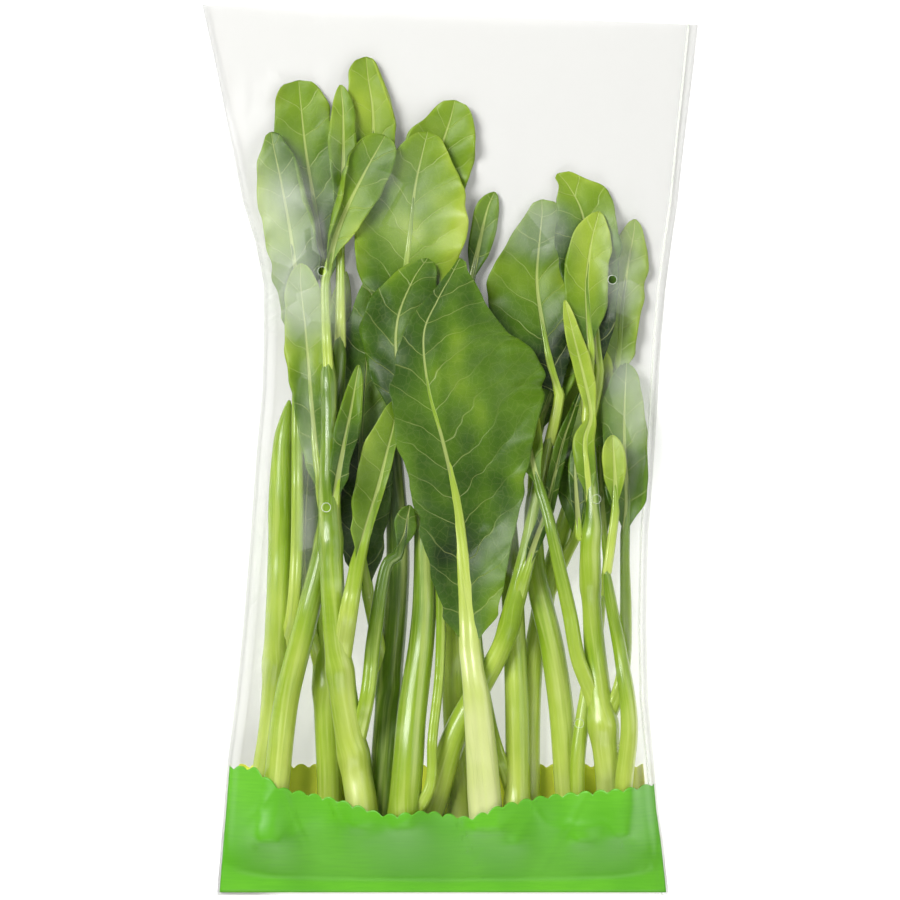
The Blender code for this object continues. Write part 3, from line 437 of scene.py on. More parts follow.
def sample(field, xs, ys):
    """The map's values at any places, read between its points."""
    columns = np.clip(np.asarray(xs) + HALF_COLUMNS, 0, GRID_SHAPE[1] - JUST_INSIDE)
    rows = np.clip(np.asarray(ys) + HALF_ROWS, 0, GRID_SHAPE[0] - JUST_INSIDE)
    column = columns.astype(int)
    row = rows.astype(int)
    across = columns - column
    along = rows - row
    near = field[row, column] * (1 - across) + field[row, column + 1] * across
    far = field[row + 1, column] * (1 - across) + field[row + 1, column + 1] * across
    return near * (1 - along) + far * along


print("the map has", GRID_SHAPE[0] * GRID_SHAPE[1], "places")

# %% [markdown]
# ## A piece on its way to becoming a mesh
# Stems and blades are built flat on the table first and lifted later. So each point remembers its
# anchor, the place whose height it follows: a ring of a stem follows its centre and stays round,
# while a point of a blade follows its own place and drapes.

# %% Points that can be lifted
class Shape:
    """Points and faces of one surface, with what its material wants to know at each point."""

    def __init__(self, points, anchors, faces, sheet, tone, luck=0.0):
        self.points = points
        self.anchors = anchors
        self.faces = faces
        self.sheet = sheet
        self.tone = tone
        self.luck = luck

    def lift(self, amounts):
        """Raise each point by its own amount."""
        self.points[:, 2] += amounts

    def lowest(self):
        """A map of the lowest point in each cell, very high where there is none."""
        field = np.full(GRID_SHAPE, -NOTHING)
        np.minimum.at(field, self.cells(), self.points[:, 2])
        return field

    def highest(self):
        """A map of the highest point in each cell, very low where there is none."""
        field = np.full(GRID_SHAPE, NOTHING)
        np.maximum.at(field, self.cells(), self.points[:, 2])
        return field

    def cells(self):
        """The row and the column of the map's cell that each point is in."""
        nearest = np.rint(self.points).astype(int)
        rows = np.clip(nearest[:, 1] + HALF_ROWS, 0, GRID_SHAPE[0] - 1)
        columns = np.clip(nearest[:, 0] + HALF_COLUMNS, 0, GRID_SHAPE[1] - 1)
        return rows, columns


def grid_faces(rows, columns, closed=False):
    """Quads between the points of a grid; a closed one joins its last column to its first."""
    across = columns if closed else columns - 1
    row, column = np.meshgrid(np.arange(rows - 1), np.arange(across), indexing="ij")
    a = row * columns + column
    b = row * columns + (column + 1) % columns
    return np.column_stack([a.ravel(), b.ravel(), (b + columns).ravel(), (a + columns).ravel()])


print("a 3 by 4 grid has", len(grid_faces(3, 4)), "quads")

# %% [markdown]
# ## Stems and petioles
# A choy sum stem is fleshy and nearly round, with faint ridges along it, a swelling where a leaf
# left it and a clean knife cut at its foot. A petiole, the leaf's own stalk, is flatter and has a
# groove along its top. A curve with a bevel gives a perfect pipe, so the rings are placed here
# one by one, and each is pushed in and out by the ridges, the groove and a little noise.

# %% Rings along a stem
STEM_SIDES = 26
RING_STEP = 1.5
RIDGE_COUNT = 9
RIDGE_DEPTH = 0.028
RIDGE_DRIFT = 60.0
BULGE_SIZE = 14.0
BULGE_DEPTH = 0.025
BULGE_ROUND = 20.0
BULGE_START = 40.0
GROOVE_DEPTH = 0.34
GROOVE_WIDTH = 0.62
CUT_ROUNDING = 0.5
TIP_LENGTH = 14.0
TIP_BLUNTNESS = 0.02
LUCK_STEP = 0.137
UPWARDS = math.pi / 2


def tube(path, heights, seed, grooved, tone, flat=1.0):
    """A closed stem along a path of (x, y, radius), with its centre at the given heights.

    It narrows to a blunt point at its far end. A flat of less than 1 squeezes it from above.
    """
    forward = headings(path)
    side = np.column_stack([forward[:, 1], -forward[:, 0]])
    gone = travelled(path)
    angles = np.arange(STEM_SIDES) * 2 * math.pi / STEM_SIDES
    angle, along = np.meshgrid(angles, gone)
    radius = np.repeat(path[:, 2:3], STEM_SIDES, axis=1)
    drift = hills(along, np.zeros(along.shape), RIDGE_DRIFT, seed)
    ridges = np.cos(angle * RIDGE_COUNT + drift) * RIDGE_DEPTH
    bulges = hills(along, BULGE_ROUND * np.cos(angle) + BULGE_START, BULGE_SIZE, seed + 1) * BULGE_DEPTH
    groove = GROOVE_DEPTH * np.exp(-((angle - UPWARDS) / GROOVE_WIDTH) ** 2) if grooved else 0
    narrowing = np.sqrt(np.clip((gone[-1] - gone) / TIP_LENGTH, TIP_BLUNTNESS, 1))[:, None]
    radius = radius * (1 + ridges + bulges - groove) * narrowing
    radius[0] *= 1 - CUT_ROUNDING / path[0, 2]
    x = path[:, 0:1] + radius * np.cos(angle) * side[:, 0:1]
    y = path[:, 1:2] + radius * np.cos(angle) * side[:, 1:2]
    z = heights[:, None] + radius * np.sin(angle) * np.reshape(flat, (-1, 1))
    points = np.stack([x, y, z], axis=2).reshape(-1, 3)
    anchors = np.repeat(path[:, :2], STEM_SIDES, axis=0)
    faces = [tuple(face) for face in grid_faces(len(path), STEM_SIDES, closed=True)]
    last = (len(path) - 1) * STEM_SIDES
    faces.append(tuple(range(STEM_SIDES - 1, -1, -1)))
    faces.append(tuple(range(last, last + STEM_SIDES)))
    sheet = np.column_stack([(angle * path[:, 2:3]).ravel(), along.ravel()])
    fade = np.column_stack([np.full(angle.size, tone), (along / max(gone[-1], 1)).ravel()])
    return Shape(points, anchors, faces, sheet, fade, (seed * LUCK_STEP) % 1.0)


trial_path = smoothed(STALKS[0]["stem"], RING_STEP)
print("one stem:", len(tube(trial_path, trial_path[:, 2], 1, False, 0.3).points), "points")

# %% [markdown]
# ## Leaf blades
# A blade is a thin sheet that follows its midrib. Between the side veins it puffs up a little,
# towards its edge it has more area than its outline needs, so it waves, and its two halves rise
# from the midrib like a shallow boat. A plane with displacement would lose the true outline, so
# the sheet is a net whose rows always reach from edge to edge. It gets two faces and a rim, so
# that it is a solid leaf and not paper without thickness.

# %% The outline of a blade
NET_STEP = 1.15
TIP_HALF_WIDTH = 0.5
EDGE_WANDER = 0.14
WANDER_WIDTH = 14.0
WANDER_SIZE = 19.0
RAGGED_SIZE = 6.0
RAGGED_SHARE = 0.6
SIDES_APART = 30.0
FOOT_START = 0.6
FOOT_ROUNDING = 14.0


def half_widths(rows, fraction, gone, seed):
    """The blade's half width at each point of its net, with an uneven edge and a rounded foot."""
    left = np.maximum(rows[:, 2:3], TIP_HALF_WIDTH)
    right = np.maximum(rows[:, 3:4], TIP_HALF_WIDTH)
    half = np.where(fraction < 0, left, right)
    apart = SIDES_APART * np.sign(fraction)
    wander = hills(gone, apart, WANDER_SIZE, seed)
    wander += RAGGED_SHARE * hills(gone, apart, RAGGED_SIZE, seed + 5)
    half = half + EDGE_WANDER * wander * np.abs(fraction) ** 2 * np.minimum(half, WANDER_WIDTH)
    return half * np.clip((gone + FOOT_START) / FOOT_ROUNDING, 0, 1) ** 0.7


trial_rows = smoothed(STALKS[-1]["leaves"][0]["blade"], NET_STEP)
print("the front leaf's net has", len(trial_rows), "rows")

# %% [markdown]
# ## Veins, waves and folds
# Three things make the sheet a leaf. It puffs up between its side veins, it waves in long and
# short waves that grow towards the edge, and now and then a margin turns over on itself. Each is
# a rule of its own, so that each can be changed alone.

# %% The relief of a blade
VEIN_SPACING = 12.0
VEIN_SLANT = 0.85
VEIN_PUFF = 0.6
PUFF_INSET = 3.0
WAVES = [
    # length, shift between the two halves, turns with the seed, share of the height, rise to the edge
    (34.0, 2.2, 1, 0.8, 2),
    (13.0, 1.3, 2, 0.5, 5),
]
TURN_LENGTH = 0.3
TURN_BACK = 1.85
TURN_ROUNDING = 0.12
TURN_GAP = 1.8


def vein_height(along, across):
    """How far the blade puffs up between its side veins."""
    phase = (along - VEIN_SLANT * np.abs(across)) / VEIN_SPACING
    between = np.abs(np.sin(math.pi * phase)) ** 0.6
    return VEIN_PUFF * between * (1 - np.exp(-(across / PUFF_INSET) ** 2))


def ripples(fraction, gone, seed):
    """Long and short waves that grow towards the edge."""
    height = np.zeros(fraction.shape)
    for length, shift, turns, share, power in WAVES:
        wave = np.sin(2 * math.pi * gone / length + shift * np.sign(fraction) + turns * seed)
        height += share * wave * np.abs(fraction) ** power
    return height


def folded(across, half, fraction, along, fold):
    """Where the points go when one margin is turned over on itself, and how much they rise."""
    if not fold:
        return across, np.zeros(across.shape)
    side, start, middle = fold
    deep = np.exp(-((along - middle) / TURN_LENGTH) ** 2)
    turn = 1 - (1 - start) * deep
    past = np.clip(fraction * side - turn, 0, None)
    back = across - side * past * half * TURN_BACK
    rise = TURN_GAP * np.sin(np.clip(past / TURN_ROUNDING, 0, 1) * math.pi / 2) * (past > 0)
    return np.where(past > 0, back, across), rise


print("between two veins, 10 mm out:", round(float(vein_height(14.5, 10.0)), 2), "mm")

# %% [markdown]
# ## From a net to a solid blade
# The net is built once and used twice, half the blade's thickness above and below, with a rim of
# faces round the edge. The blade also gets its depth of green here: deeper at the foot, which is
# painted shade from the leaves that overlap it there, a little paler along the margin, and paler
# below than above.

# %% A net over one blade
BLADE = 0.5
CHORD_PULL = 1.2
RIB_RISE = 0.1
RIB_WIDTH = 2.2
LUMP_HEIGHT = 1.4
LUMP_SIZE = 15.0
LUMP_START = 50.0
LUMP_AT_RIB = 0.3
SHADE = 0.1
SHADE_END = 0.7
MARGIN_PALER = 0.08
MARGIN_START = 0.6
UNDERSIDE_PALER = 0.18


def two_sided(net):
    """The points and faces of a thin closed solid: a net above, the same net below, and a rim."""
    rows, wide = net.shape[:2]
    flat = net.reshape(-1, 3)
    points = np.vstack([flat + (0, 0, BLADE / 2), flat - (0, 0, BLADE / 2)])
    under = len(flat)
    above = grid_faces(rows, wide)
    faces = [tuple(face) for face in above] + [tuple(face[::-1] + under) for face in above]
    rim = list(range(wide))
    rim += [i * wide + wide - 1 for i in range(1, rows)]
    rim += [(rows - 1) * wide + j for j in range(wide - 2, -1, -1)]
    rim += [i * wide for i in range(rows - 2, 0, -1)]
    faces += [(p, p + under, q + under, q) for p, q in zip(rim, rim[1:] + rim[:1])]
    return points, faces


def blade(rows, heights, leaf, seed):
    """A thin solid leaf blade over a path of (x, y, half width left, half width right)."""
    chord = rows[-1, :2] - rows[0, :2]
    forward = headings(rows) + CHORD_PULL * chord / np.linalg.norm(chord)
    forward /= np.linalg.norm(forward, axis=1)[:, None]
    side = np.column_stack([forward[:, 1], -forward[:, 0]])
    widest = rows[:, 2:4].max()
    wide = 2 * max(4, round(widest / NET_STEP)) + 1
    fraction, gone = np.meshgrid(np.linspace(-1, 1, wide), travelled(rows))
    edge = np.abs(fraction)
    along = gone / gone[-1, 0]
    half = half_widths(rows, fraction, gone, seed)
    across = fraction * half
    share = half / widest
    ripple = leaf["wave"] * ripples(fraction, gone, seed)
    lumps = LUMP_HEIGHT * hills(gone, across + LUMP_START, LUMP_SIZE, seed + 3) * (LUMP_AT_RIB + edge)
    turned, turned_rise = folded(across, half, fraction, along, leaf.get("fold"))
    net = np.zeros(fraction.shape + (3,))
    net[..., 0] = rows[:, 0:1] + turned * side[:, 0:1]
    net[..., 1] = rows[:, 1:2] + turned * side[:, 1:2]
    net[..., 2] = heights[:, None] + (leaf["cup"] * edge ** 1.4 + ripple) * share + lumps * share
    net[..., 2] += vein_height(gone, across) * np.minimum(share * 2, 1)
    net[..., 2] += RIB_RISE * np.exp(-(across / RIB_WIDTH) ** 2) * (1 - along) + turned_rise
    points, faces = two_sided(net)
    sheet = np.column_stack([across.ravel(), gone.ravel()])
    # Painted shade: a blade is deeper green at its foot, where overlapping leaves shade it.
    deeper = leaf.get("shade", SHADE) * (1 - ease(along / SHADE_END))
    paler = MARGIN_PALER * ease((edge - MARGIN_START) / (1 - MARGIN_START))
    above = np.column_stack([(leaf["tone"] + deeper - paler).ravel(), along.ravel()])
    tone = np.vstack([above, above - (UNDERSIDE_PALER, 0)])
    return Shape(points, points[:, :2].copy(), faces, np.tile(sheet, (2, 1)), tone,
                 (seed * LUCK_STEP) % 1.0)


trial_blade = blade(trial_rows, np.zeros(len(trial_rows)), STALKS[-1]["leaves"][0], 5)
print("the front leaf's blade has", len(trial_blade.points), "points")

# %% [markdown]
# ## A leaf with its petiole
# On the plant the petiole runs on as the midrib, getting thinner up to the tip. Making both from
# one path keeps them in line. The rib is a tube too, sunk into the blade so that only its upper
# part stands out, as the pale rib does on a real leaf.

# %% Petiole, midrib and blade
RIB_SHARE = 0.86
RIB_END = 0.15
RIB_SINK = 0.3
RIB_TAPER = 1.4
RIB_FOOT = 0.97
RIB_FLATNESS = 0.8
RIB_EASE = 26.0
PETIOLE_TONE = 0.4
RIB_DEEPENING = 0.32
ROOT_REACH = 30.0


def leaf_shapes(leaf, root_height, seed):
    """The petiole with the midrib, and the blade."""
    blunt = leaf.get("blunt", 2.0)
    stations = [(x, y, left ** blunt, right ** blunt) for x, y, left, right in leaf["blade"]]
    rows = smoothed(stations, NET_STEP)
    rows[:, 2:] = np.clip(rows[:, 2:], 0, None) ** (1 / blunt)
    stalk = leaf["petiole"]
    foot_radius = RIB_FOOT * stalk[-1][2]
    path = smoothed(stalk + [(rows[0, 0], rows[0, 1], foot_radius)], RING_STEP)
    ribbed = round(RIB_SHARE * len(rows))
    shrinking = np.linspace(1, 0, ribbed) ** RIB_TAPER
    rib = np.column_stack([rows[:ribbed, :2], RIB_END + (foot_radius - RIB_END) * shrinking])
    bare = len(path) - 1
    path = np.vstack([path[:-1], rib])
    gone = travelled(path)
    heights = np.maximum(path[:, 2], root_height * (1 - ease(gone / ROOT_REACH)))
    row_heights = np.concatenate([heights[bare:], np.full(len(rows) - ribbed, heights[-1])])
    easing = ease((gone - gone[bare]) / RIB_EASE + 0.5)
    flat = 1 - (1 - RIB_FLATNESS) * easing
    sunk = heights - RIB_SINK * path[:, 2] * easing
    tone = leaf.get("petiole_tone", PETIOLE_TONE * leaf["tone"])
    petiole = tube(path, sunk, seed, True, tone, flat)
    petiole.tone[:, 0] += RIB_DEEPENING * petiole.tone[:, 1] ** 2
    return [petiole, blade(rows, row_heights, leaf, seed)]


trial_leaf = leaf_shapes(STALKS[-1]["leaves"][0], 0.0, 5)
print("the big front leaf:", [len(shape.points) for shape in trial_leaf], "points")

# %% [markdown]
# ## Laying the stalks down
# Each stalk is bent over what it crosses with a gentle slope, its leaves are draped over its own
# stem, and what still dips into the pile is raised in a few rounds. This is the same rule that
# the CAD model follows, on finer shapes, so that each piece lies where its solid lies.

# %% Stacking
CLEARANCE = 0.35
FIRST_LAYER = 0.7
BEND_SLOPE = 0.3
BEND_MARGIN = 4
BEND_BLUR = 6
DRAPE_SLOPE = 0.6
DRAPE_MARGIN = 2
DRAPE_BLUR = 2
SETTLE_ROUNDS = 5
SETTLE_MARGIN = 4
SETTLE_BLUR = 2
CLEAR_ENOUGH = 0.05


def settle(shape, ground):
    """Raise what still dips into the pile, smoothly."""
    limit = widened(ground, 1) + CLEARANCE
    for _ in range(SETTLE_ROUNDS):
        short = np.maximum(limit - shape.lowest(), 0)
        if short.max() < CLEAR_ENOUGH:
            break
        rise = averaged(widened(short, SETTLE_MARGIN), SETTLE_BLUR)
        shape.lift(sample(rise, *shape.anchors.T))


def lay_down(groups, roots, ground):
    """Lay a stalk's groups of shapes on the pile, and return the pile's new heights."""
    need = np.zeros(GRID_SHAPE)
    for group in groups:
        for shape in group:
            need = np.maximum(need, widened(ground, 1) + CLEARANCE - shape.lowest())
    bend = averaged(spread(widened(need, BEND_MARGIN), BEND_SLOPE), BEND_BLUR)
    pile = np.full(GRID_SHAPE, NOTHING)
    for group, root in zip(groups, roots):
        for shape in group:
            shape.lift(sample(bend, *shape.anchors.T))
        lowest = np.minimum.reduce([shape.lowest() for shape in group])
        over = np.maximum(widened(pile, 1) + CLEARANCE - lowest, 0)
        drape = averaged(spread(widened(over, DRAPE_MARGIN), DRAPE_SLOPE), DRAPE_BLUR)
        for shape in group:
            away = np.linalg.norm(shape.anchors - root, axis=1)
            shape.lift(sample(drape, *shape.anchors.T) * ease(away / ROOT_REACH))
            settle(shape, ground)
        for shape in group:
            pile = np.maximum(pile, shape.highest())
    return np.maximum(ground, pile)


flat_ground = np.full(GRID_SHAPE, FIRST_LAYER)
print("the pile starts", FIRST_LAYER, "mm above the table, on the lower film")

# %% [markdown]
# ## From the lowest stalk to the top one
# A stem bulges a little where a leaf leaves it. A stem or blade with only film behind it lets light
# through, so it looks paler than one that lies on other green: that light is painted into its
# green, with painted shade where something lies below. Both depend on where things are, so they
# are worked out here, just before each stalk is laid down.

# %% Build the pile
SWELLING = 0.12
SWELLING_REACH = 5.0
STEM_TONE = 0.3
LIGHT_THROUGH_TONE = 0.2
BACKING_BLUR = 3
BACKING_HEIGHT = 0.3
BACKING_USUAL = 0.75


def paint_light_through(shape, ground):
    """Painted light and shade: lighten a shape's green where nothing lies below it, as light comes
    through, and deepen it where something does.
    """
    covered = averaged((ground > FIRST_LAYER + BACKING_HEIGHT).astype(float), BACKING_BLUR)
    backed = sample(covered, shape.points[:, 0], shape.points[:, 1])
    shape.tone[:, 0] += LIGHT_THROUGH_TONE * (backed - BACKING_USUAL)


def stem_shape(stalk, seed):
    """The stem of a stalk, swollen where its leaves leave it."""
    path = smoothed(stalk["stem"], RING_STEP)
    for leaf in stalk["leaves"]:
        near = np.linalg.norm(path[:, :2] - leaf["petiole"][0][:2], axis=1)
        path[:, 2] *= 1 + SWELLING * np.exp(-(near / SWELLING_REACH) ** 2)
    return tube(path, path[:, 2], seed, False, stalk.get("tone", STEM_TONE))


def stalk_groups(stalk, seed):
    """A stalk as groups of shapes, the stem and then each leaf, and the place each is rooted."""
    groups = []
    roots = []
    stem = np.array(stalk["stem"])
    if len(stem):
        groups.append([stem_shape(stalk, seed)])
        roots.append(stem[0, :2])
    for k, leaf in enumerate(stalk["leaves"]):
        root = np.array(leaf["petiole"][0][:2])
        root_height = 0.0
        if len(stem):
            root_height = stem[np.linalg.norm(stem[:, :2] - root, axis=1).argmin(), 2]
        groups.append(leaf_shapes(leaf, root_height, seed + 10 * k + 3))
        roots.append(root)
    return groups, roots


ground = flat_ground
bunch = {}
for number, stalk in enumerate(STALKS):
    groups, roots = stalk_groups(stalk, 100 * number + 7)
    for group in groups:
        paint_light_through(group[-1], ground)
    ground = lay_down(groups, roots, ground)
    bunch[stalk["name"]] = groups
print("the pile is", round(float(ground.max()), 1), "mm high")

# %% [markdown]
# ## Colours
# A node material can take its colour from the mesh. Each point carries three numbers in a colour
# layer called `tone`: the depth of its green, how far along its leaf or stem it is, and the luck
# of that leaf or stem, which moves its pattern. It also has its place on the unrolled sheet in a
# UV map, in units of 100 mm. Veins and streaks are then drawn by maths nodes in real units, and
# stay sharp at any distance, which an image would not.

# %% Small helpers for materials
SHEET_UNIT = 100.0


def light(red, green, blue):
    """A colour as seen on a screen, 0 to 255, as the linear numbers that Blender wants."""
    def straighten(value):
        value = value / 255
        return value / 12.92 if value <= 0.04045 else ((value + 0.055) / 1.055) ** 2.4
    return (straighten(red), straighten(green), straighten(blue), 1.0)


class Nodes:
    """Adds nodes to a material and joins them in one call."""

    def __init__(self, name):
        self.material = bpy.data.materials.new(name)
        self.material.use_nodes = True
        self.tree = self.material.node_tree
        self.shader = self.tree.nodes["Principled BSDF"]
        self.output = self.tree.nodes["Material Output"]

    def add(self, kind, settings=None, **inputs):
        """A new node. Its inputs go by name, with _ for a space, or by number, as i0 and i1."""
        node = self.tree.nodes.new(kind)
        for key, value in (settings or {}).items():
            setattr(node, key, value)
        for key, value in inputs.items():
            by_number = key[0] == "i" and key[1:].isdigit()
            self.feed(node, int(key[1:]) if by_number else key.replace("_", " "), value)
        return node

    def feed(self, node, socket, value):
        """Put a number or colour on a socket, or join another node's output to it."""
        if isinstance(value, bpy.types.NodeSocket):
            self.tree.links.new(value, node.inputs[socket])
        else:
            node.inputs[socket].default_value = value

    def maths(self, operation, first, second=0.0, third=0.0):
        """A sum of up to three numbers, each a constant or another node's output."""
        node = self.add("ShaderNodeMath", {"operation": operation}, i0=first, i1=second, i2=third)
        return node.outputs[0]

    def remap(self, value, low, high, to_low=0.0, to_high=1.0):
        """A soft step from one value to another while the input goes from low to high."""
        node = self.add("ShaderNodeMapRange", {"interpolation_type": "SMOOTHSTEP"}, Value=value,
                        From_Min=low, From_Max=high, To_Min=to_low, To_Max=to_high)
        return node.outputs[0]

    def mix(self, factor, first, second):
        """A blend of two colours: the first at a factor of 0, the second at 1."""
        node = self.add("ShaderNodeMix", {"data_type": "RGBA"})
        self.feed(node, 0, factor)
        self.feed(node, 6, first)
        self.feed(node, 7, second)
        return node.outputs[2]

    def noise(self, vector, scale, detail=2.0, roughness=0.5):
        """Soft random patches between 0 and 1."""
        node = self.add("ShaderNodeTexNoise", None, Vector=vector, Scale=scale, Detail=detail,
                        Roughness=roughness)
        return node.outputs["Fac"]

    def ramp(self, value, stops):
        """A colour ramp with stops of (place, colour)."""
        node = self.add("ShaderNodeValToRGB", None, Fac=value)
        ramp = node.color_ramp
        while len(ramp.elements) < len(stops):
            ramp.elements.new(0.5)
        for element, (place, colour) in zip(ramp.elements, stops):
            element.position = place
            element.color = colour
        return node.outputs["Color"]

    def bump(self, height, strength, distance):
        """Roughen the shader's surface by a height, at a distance in metres."""
        node = self.add("ShaderNodeBump", None, Height=height, Strength=strength, Distance=distance)
        self.feed(self.shader, "Normal", node.outputs[0])


print("grass green in linear light:", [round(number, 3) for number in light(90, 140, 50)])

# %% [markdown]
# ## The stem's skin
# Fresh stems are pale yellow-green and a little waxy, with fine streaks along them, and paler
# towards the foot. The streaks are noise that is squeezed across the stem and stretched along it.
# A thin coat gives the soft shine of water in the skin.

# %% Stem material
LUCK_ACROSS = 40.0
LUCK_ALONG = 17.0
STEM_GREENS = [
    # place on the ramp, colour
    (0.0, light(222, 230, 158)),
    (0.22, light(186, 206, 84)),
    (0.42, light(146, 178, 40)),
    (0.62, light(100, 136, 20)),
    (0.82, light(60, 92, 10)),
    (1.0, light(30, 58, 6)),
]


def marks(nodes):
    """The numbers that the mesh carries, its place on the sheet, and that place moved by its luck."""
    layer = nodes.add("ShaderNodeVertexColor", {"layer_name": "tone"}).outputs["Color"]
    numbers = nodes.add("ShaderNodeSeparateColor", None, Color=layer)
    place = nodes.add("ShaderNodeUVMap", {"uv_map": "sheet"}).outputs[0]
    step_across = nodes.maths("MULTIPLY", numbers.outputs[2], LUCK_ACROSS)
    step_along = nodes.maths("MULTIPLY", numbers.outputs[2], LUCK_ALONG)
    step = nodes.add("ShaderNodeCombineXYZ", None, X=step_across, Y=step_along).outputs[0]
    moved = nodes.add("ShaderNodeVectorMath", {"operation": "ADD"}, i0=place, i1=step).outputs[0]
    return numbers, place, moved


def stem_skin():
    """Pale green, deeper towards the tip, with streaks along the stem."""
    nodes = Nodes("stem_skin")
    tone, _, moved = marks(nodes)
    stretched = nodes.add("ShaderNodeMapping", None, Vector=moved, Scale=(1.0, 0.03, 1.0)).outputs[0]
    fine = nodes.noise(stretched, 110.0, 3.0, 0.6)
    wide = nodes.noise(stretched, 34.0, 2.0, 0.5)
    broad = nodes.noise(moved, 5.0, 2.0)
    deeper_along = nodes.maths("MULTIPLY_ADD", tone.outputs[1], 0.34, -0.12)
    depth = nodes.maths("ADD", tone.outputs[0], deeper_along)
    depth = nodes.maths("ADD", depth, nodes.maths("MULTIPLY", broad, 0.25))
    body = nodes.ramp(depth, STEM_GREENS)
    streaked = nodes.mix(nodes.remap(wide, 0.48, 0.72, 0.0, 0.42), body, light(220, 234, 140))
    lined = nodes.mix(nodes.remap(fine, 0.5, 0.75, 0.0, 0.3), streaked, light(216, 232, 140))
    dark = nodes.mix(nodes.remap(fine, 0.22, 0.45, 0.3, 0.0), lined, light(104, 146, 24))
    nodes.feed(nodes.shader, "Base Color", dark)
    nodes.feed(nodes.shader, "Roughness", 0.34)
    nodes.feed(nodes.shader, "Coat Weight", 0.35)
    nodes.feed(nodes.shader, "Coat Roughness", 0.18)
    nodes.bump(nodes.maths("ADD", fine, wide), 0.3, 0.0004)
    return nodes.material


stem_material = stem_skin()
print("stem nodes:", len(stem_material.node_tree.nodes))

# %% [markdown]
# ## The leaf's skin
# A leaf's veins are paler than the green between them: the midrib is broad, the side veins leave
# it at a slant and curve on towards the edge, and a fine net fills the rest. Side veins are where
# a saw-tooth of the place on the sheet is close to zero. The net comes from a Voronoi texture's
# cell edges, which have just that look.

# %% Leaf material
LEAF_GREENS = [
    # place on the ramp, colour
    (0.0, light(200, 212, 112)),
    (0.25, light(160, 184, 58)),
    (0.45, light(120, 152, 34)),
    (0.62, light(86, 122, 20)),
    (0.8, light(56, 90, 12)),
    (1.0, light(24, 48, 6)),
]


def leaf_skin():
    """Green in soft patches, with painted shade towards the foot, a pale midrib, side veins and a fine
    net.
    """
    nodes = Nodes("leaf_skin")
    tone, place, moved = marks(nodes)
    axes = nodes.add("ShaderNodeSeparateXYZ", None, Vector=place)
    off_middle = nodes.maths("SUBTRACT", nodes.noise(moved, 6.0), 0.5)
    wander = nodes.maths("MULTIPLY", off_middle, 0.12)
    across = nodes.maths("ABSOLUTE", axes.outputs[0])
    slant = nodes.maths("MULTIPLY", across, VEIN_SLANT)
    phase = nodes.maths("ADD", nodes.maths("SUBTRACT", axes.outputs[1], slant), wander)
    saw = nodes.maths("PINGPONG", phase, VEIN_SPACING / 2 / SHEET_UNIT)
    side_vein = nodes.remap(saw, 0.0, 0.0045, 1.0, 0.0)
    side_vein = nodes.maths("MULTIPLY", side_vein, nodes.remap(across, 0.0, 0.25, 0.55, 0.12))
    rib_width = nodes.maths("MULTIPLY_ADD", tone.outputs[1], -0.012, 0.011)
    rib = nodes.remap(nodes.maths("SUBTRACT", across, rib_width), 0.0, 0.004, 1.0, 0.0)
    net = nodes.add("ShaderNodeTexVoronoi", {"feature": "DISTANCE_TO_EDGE"}, Vector=moved, Scale=30.0)
    mesh = nodes.remap(net.outputs["Distance"], 0.0, 0.08, 0.08, 0.0)
    veins = nodes.maths("MAXIMUM", nodes.maths("MAXIMUM", side_vein, mesh), rib)
    patches = nodes.maths("SUBTRACT", nodes.noise(moved, 2.2, 3.0), 0.5)
    # Painted shade: the green deepens towards a blade's foot and pales towards its tip.
    fading = nodes.maths("MULTIPLY_ADD", tone.outputs[1], -0.14, 0.07)
    depth = nodes.maths("ADD", nodes.maths("ADD", tone.outputs[0], fading), patches)
    green = nodes.ramp(depth, LEAF_GREENS)
    pale = nodes.mix(0.6, green, light(206, 218, 132))
    colour = nodes.mix(nodes.maths("MULTIPLY", veins, 0.85), green, pale)
    nodes.feed(nodes.shader, "Base Color", colour)
    nodes.feed(nodes.shader, "Roughness", 0.42)
    nodes.feed(nodes.shader, "Specular IOR Level", 0.3)
    nodes.bump(nodes.maths("MULTIPLY", veins, -1.0), 0.5, 0.0005)
    return nodes.material


leaf_material = leaf_skin()
print("leaf nodes:", len(leaf_material.node_tree.nodes))

# %% [markdown]
# ## Meshes from shapes
# `from_pydata` is the plainest way to a mesh: a list of points and a list of faces. The two extra
# layers are filled with `foreach_set`, which copies a whole array at once.

# %% One object from several shapes
def mesh_object(name, shapes, material):
    """An object in metres that holds the shapes, shaded smooth."""
    points = np.vstack([shape.points for shape in shapes]) * MM
    faces = []
    first = 0
    for shape in shapes:
        faces += [tuple(int(k) + first for k in face) for face in shape.faces]
        first += len(shape.points)
    mesh = bpy.data.meshes.new(name)
    mesh.from_pydata(points.tolist(), [], faces)
    corners = np.zeros(len(mesh.loops), int)
    mesh.loops.foreach_get("vertex_index", corners)
    sheet = np.vstack([shape.sheet for shape in shapes]) / SHEET_UNIT
    places = mesh.uv_layers.new(name="sheet").data
    places.foreach_set("uv", sheet[corners].astype(np.float32).ravel())
    tone = np.vstack([shape.tone for shape in shapes])
    luck = np.concatenate([np.full(len(shape.points), shape.luck) for shape in shapes])
    filled = np.column_stack([tone, luck, np.ones(len(tone))])
    layer = mesh.color_attributes.new("tone", "FLOAT_COLOR", "POINT")
    layer.data.foreach_set("color", filled.astype(np.float32).ravel())
    mesh.shade_smooth()
    mesh.materials.append(material)
    thing = bpy.data.objects.new(name, mesh)
    bpy.context.scene.collection.objects.link(thing)
    return thing


def thicken(thing, millimetres):
    """Gives a sheet a thickness, half to each side."""
    shell = thing.modifiers.new("thickness", "SOLIDIFY")
    shell.thickness = millimetres * MM
    shell.offset = 0.0


def tie(piece, node):
    """The piece moves with the model's one body and takes the place of a node's plain solid."""
    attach(piece, "root")
    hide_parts(node)
    return len(piece.data.polygons)


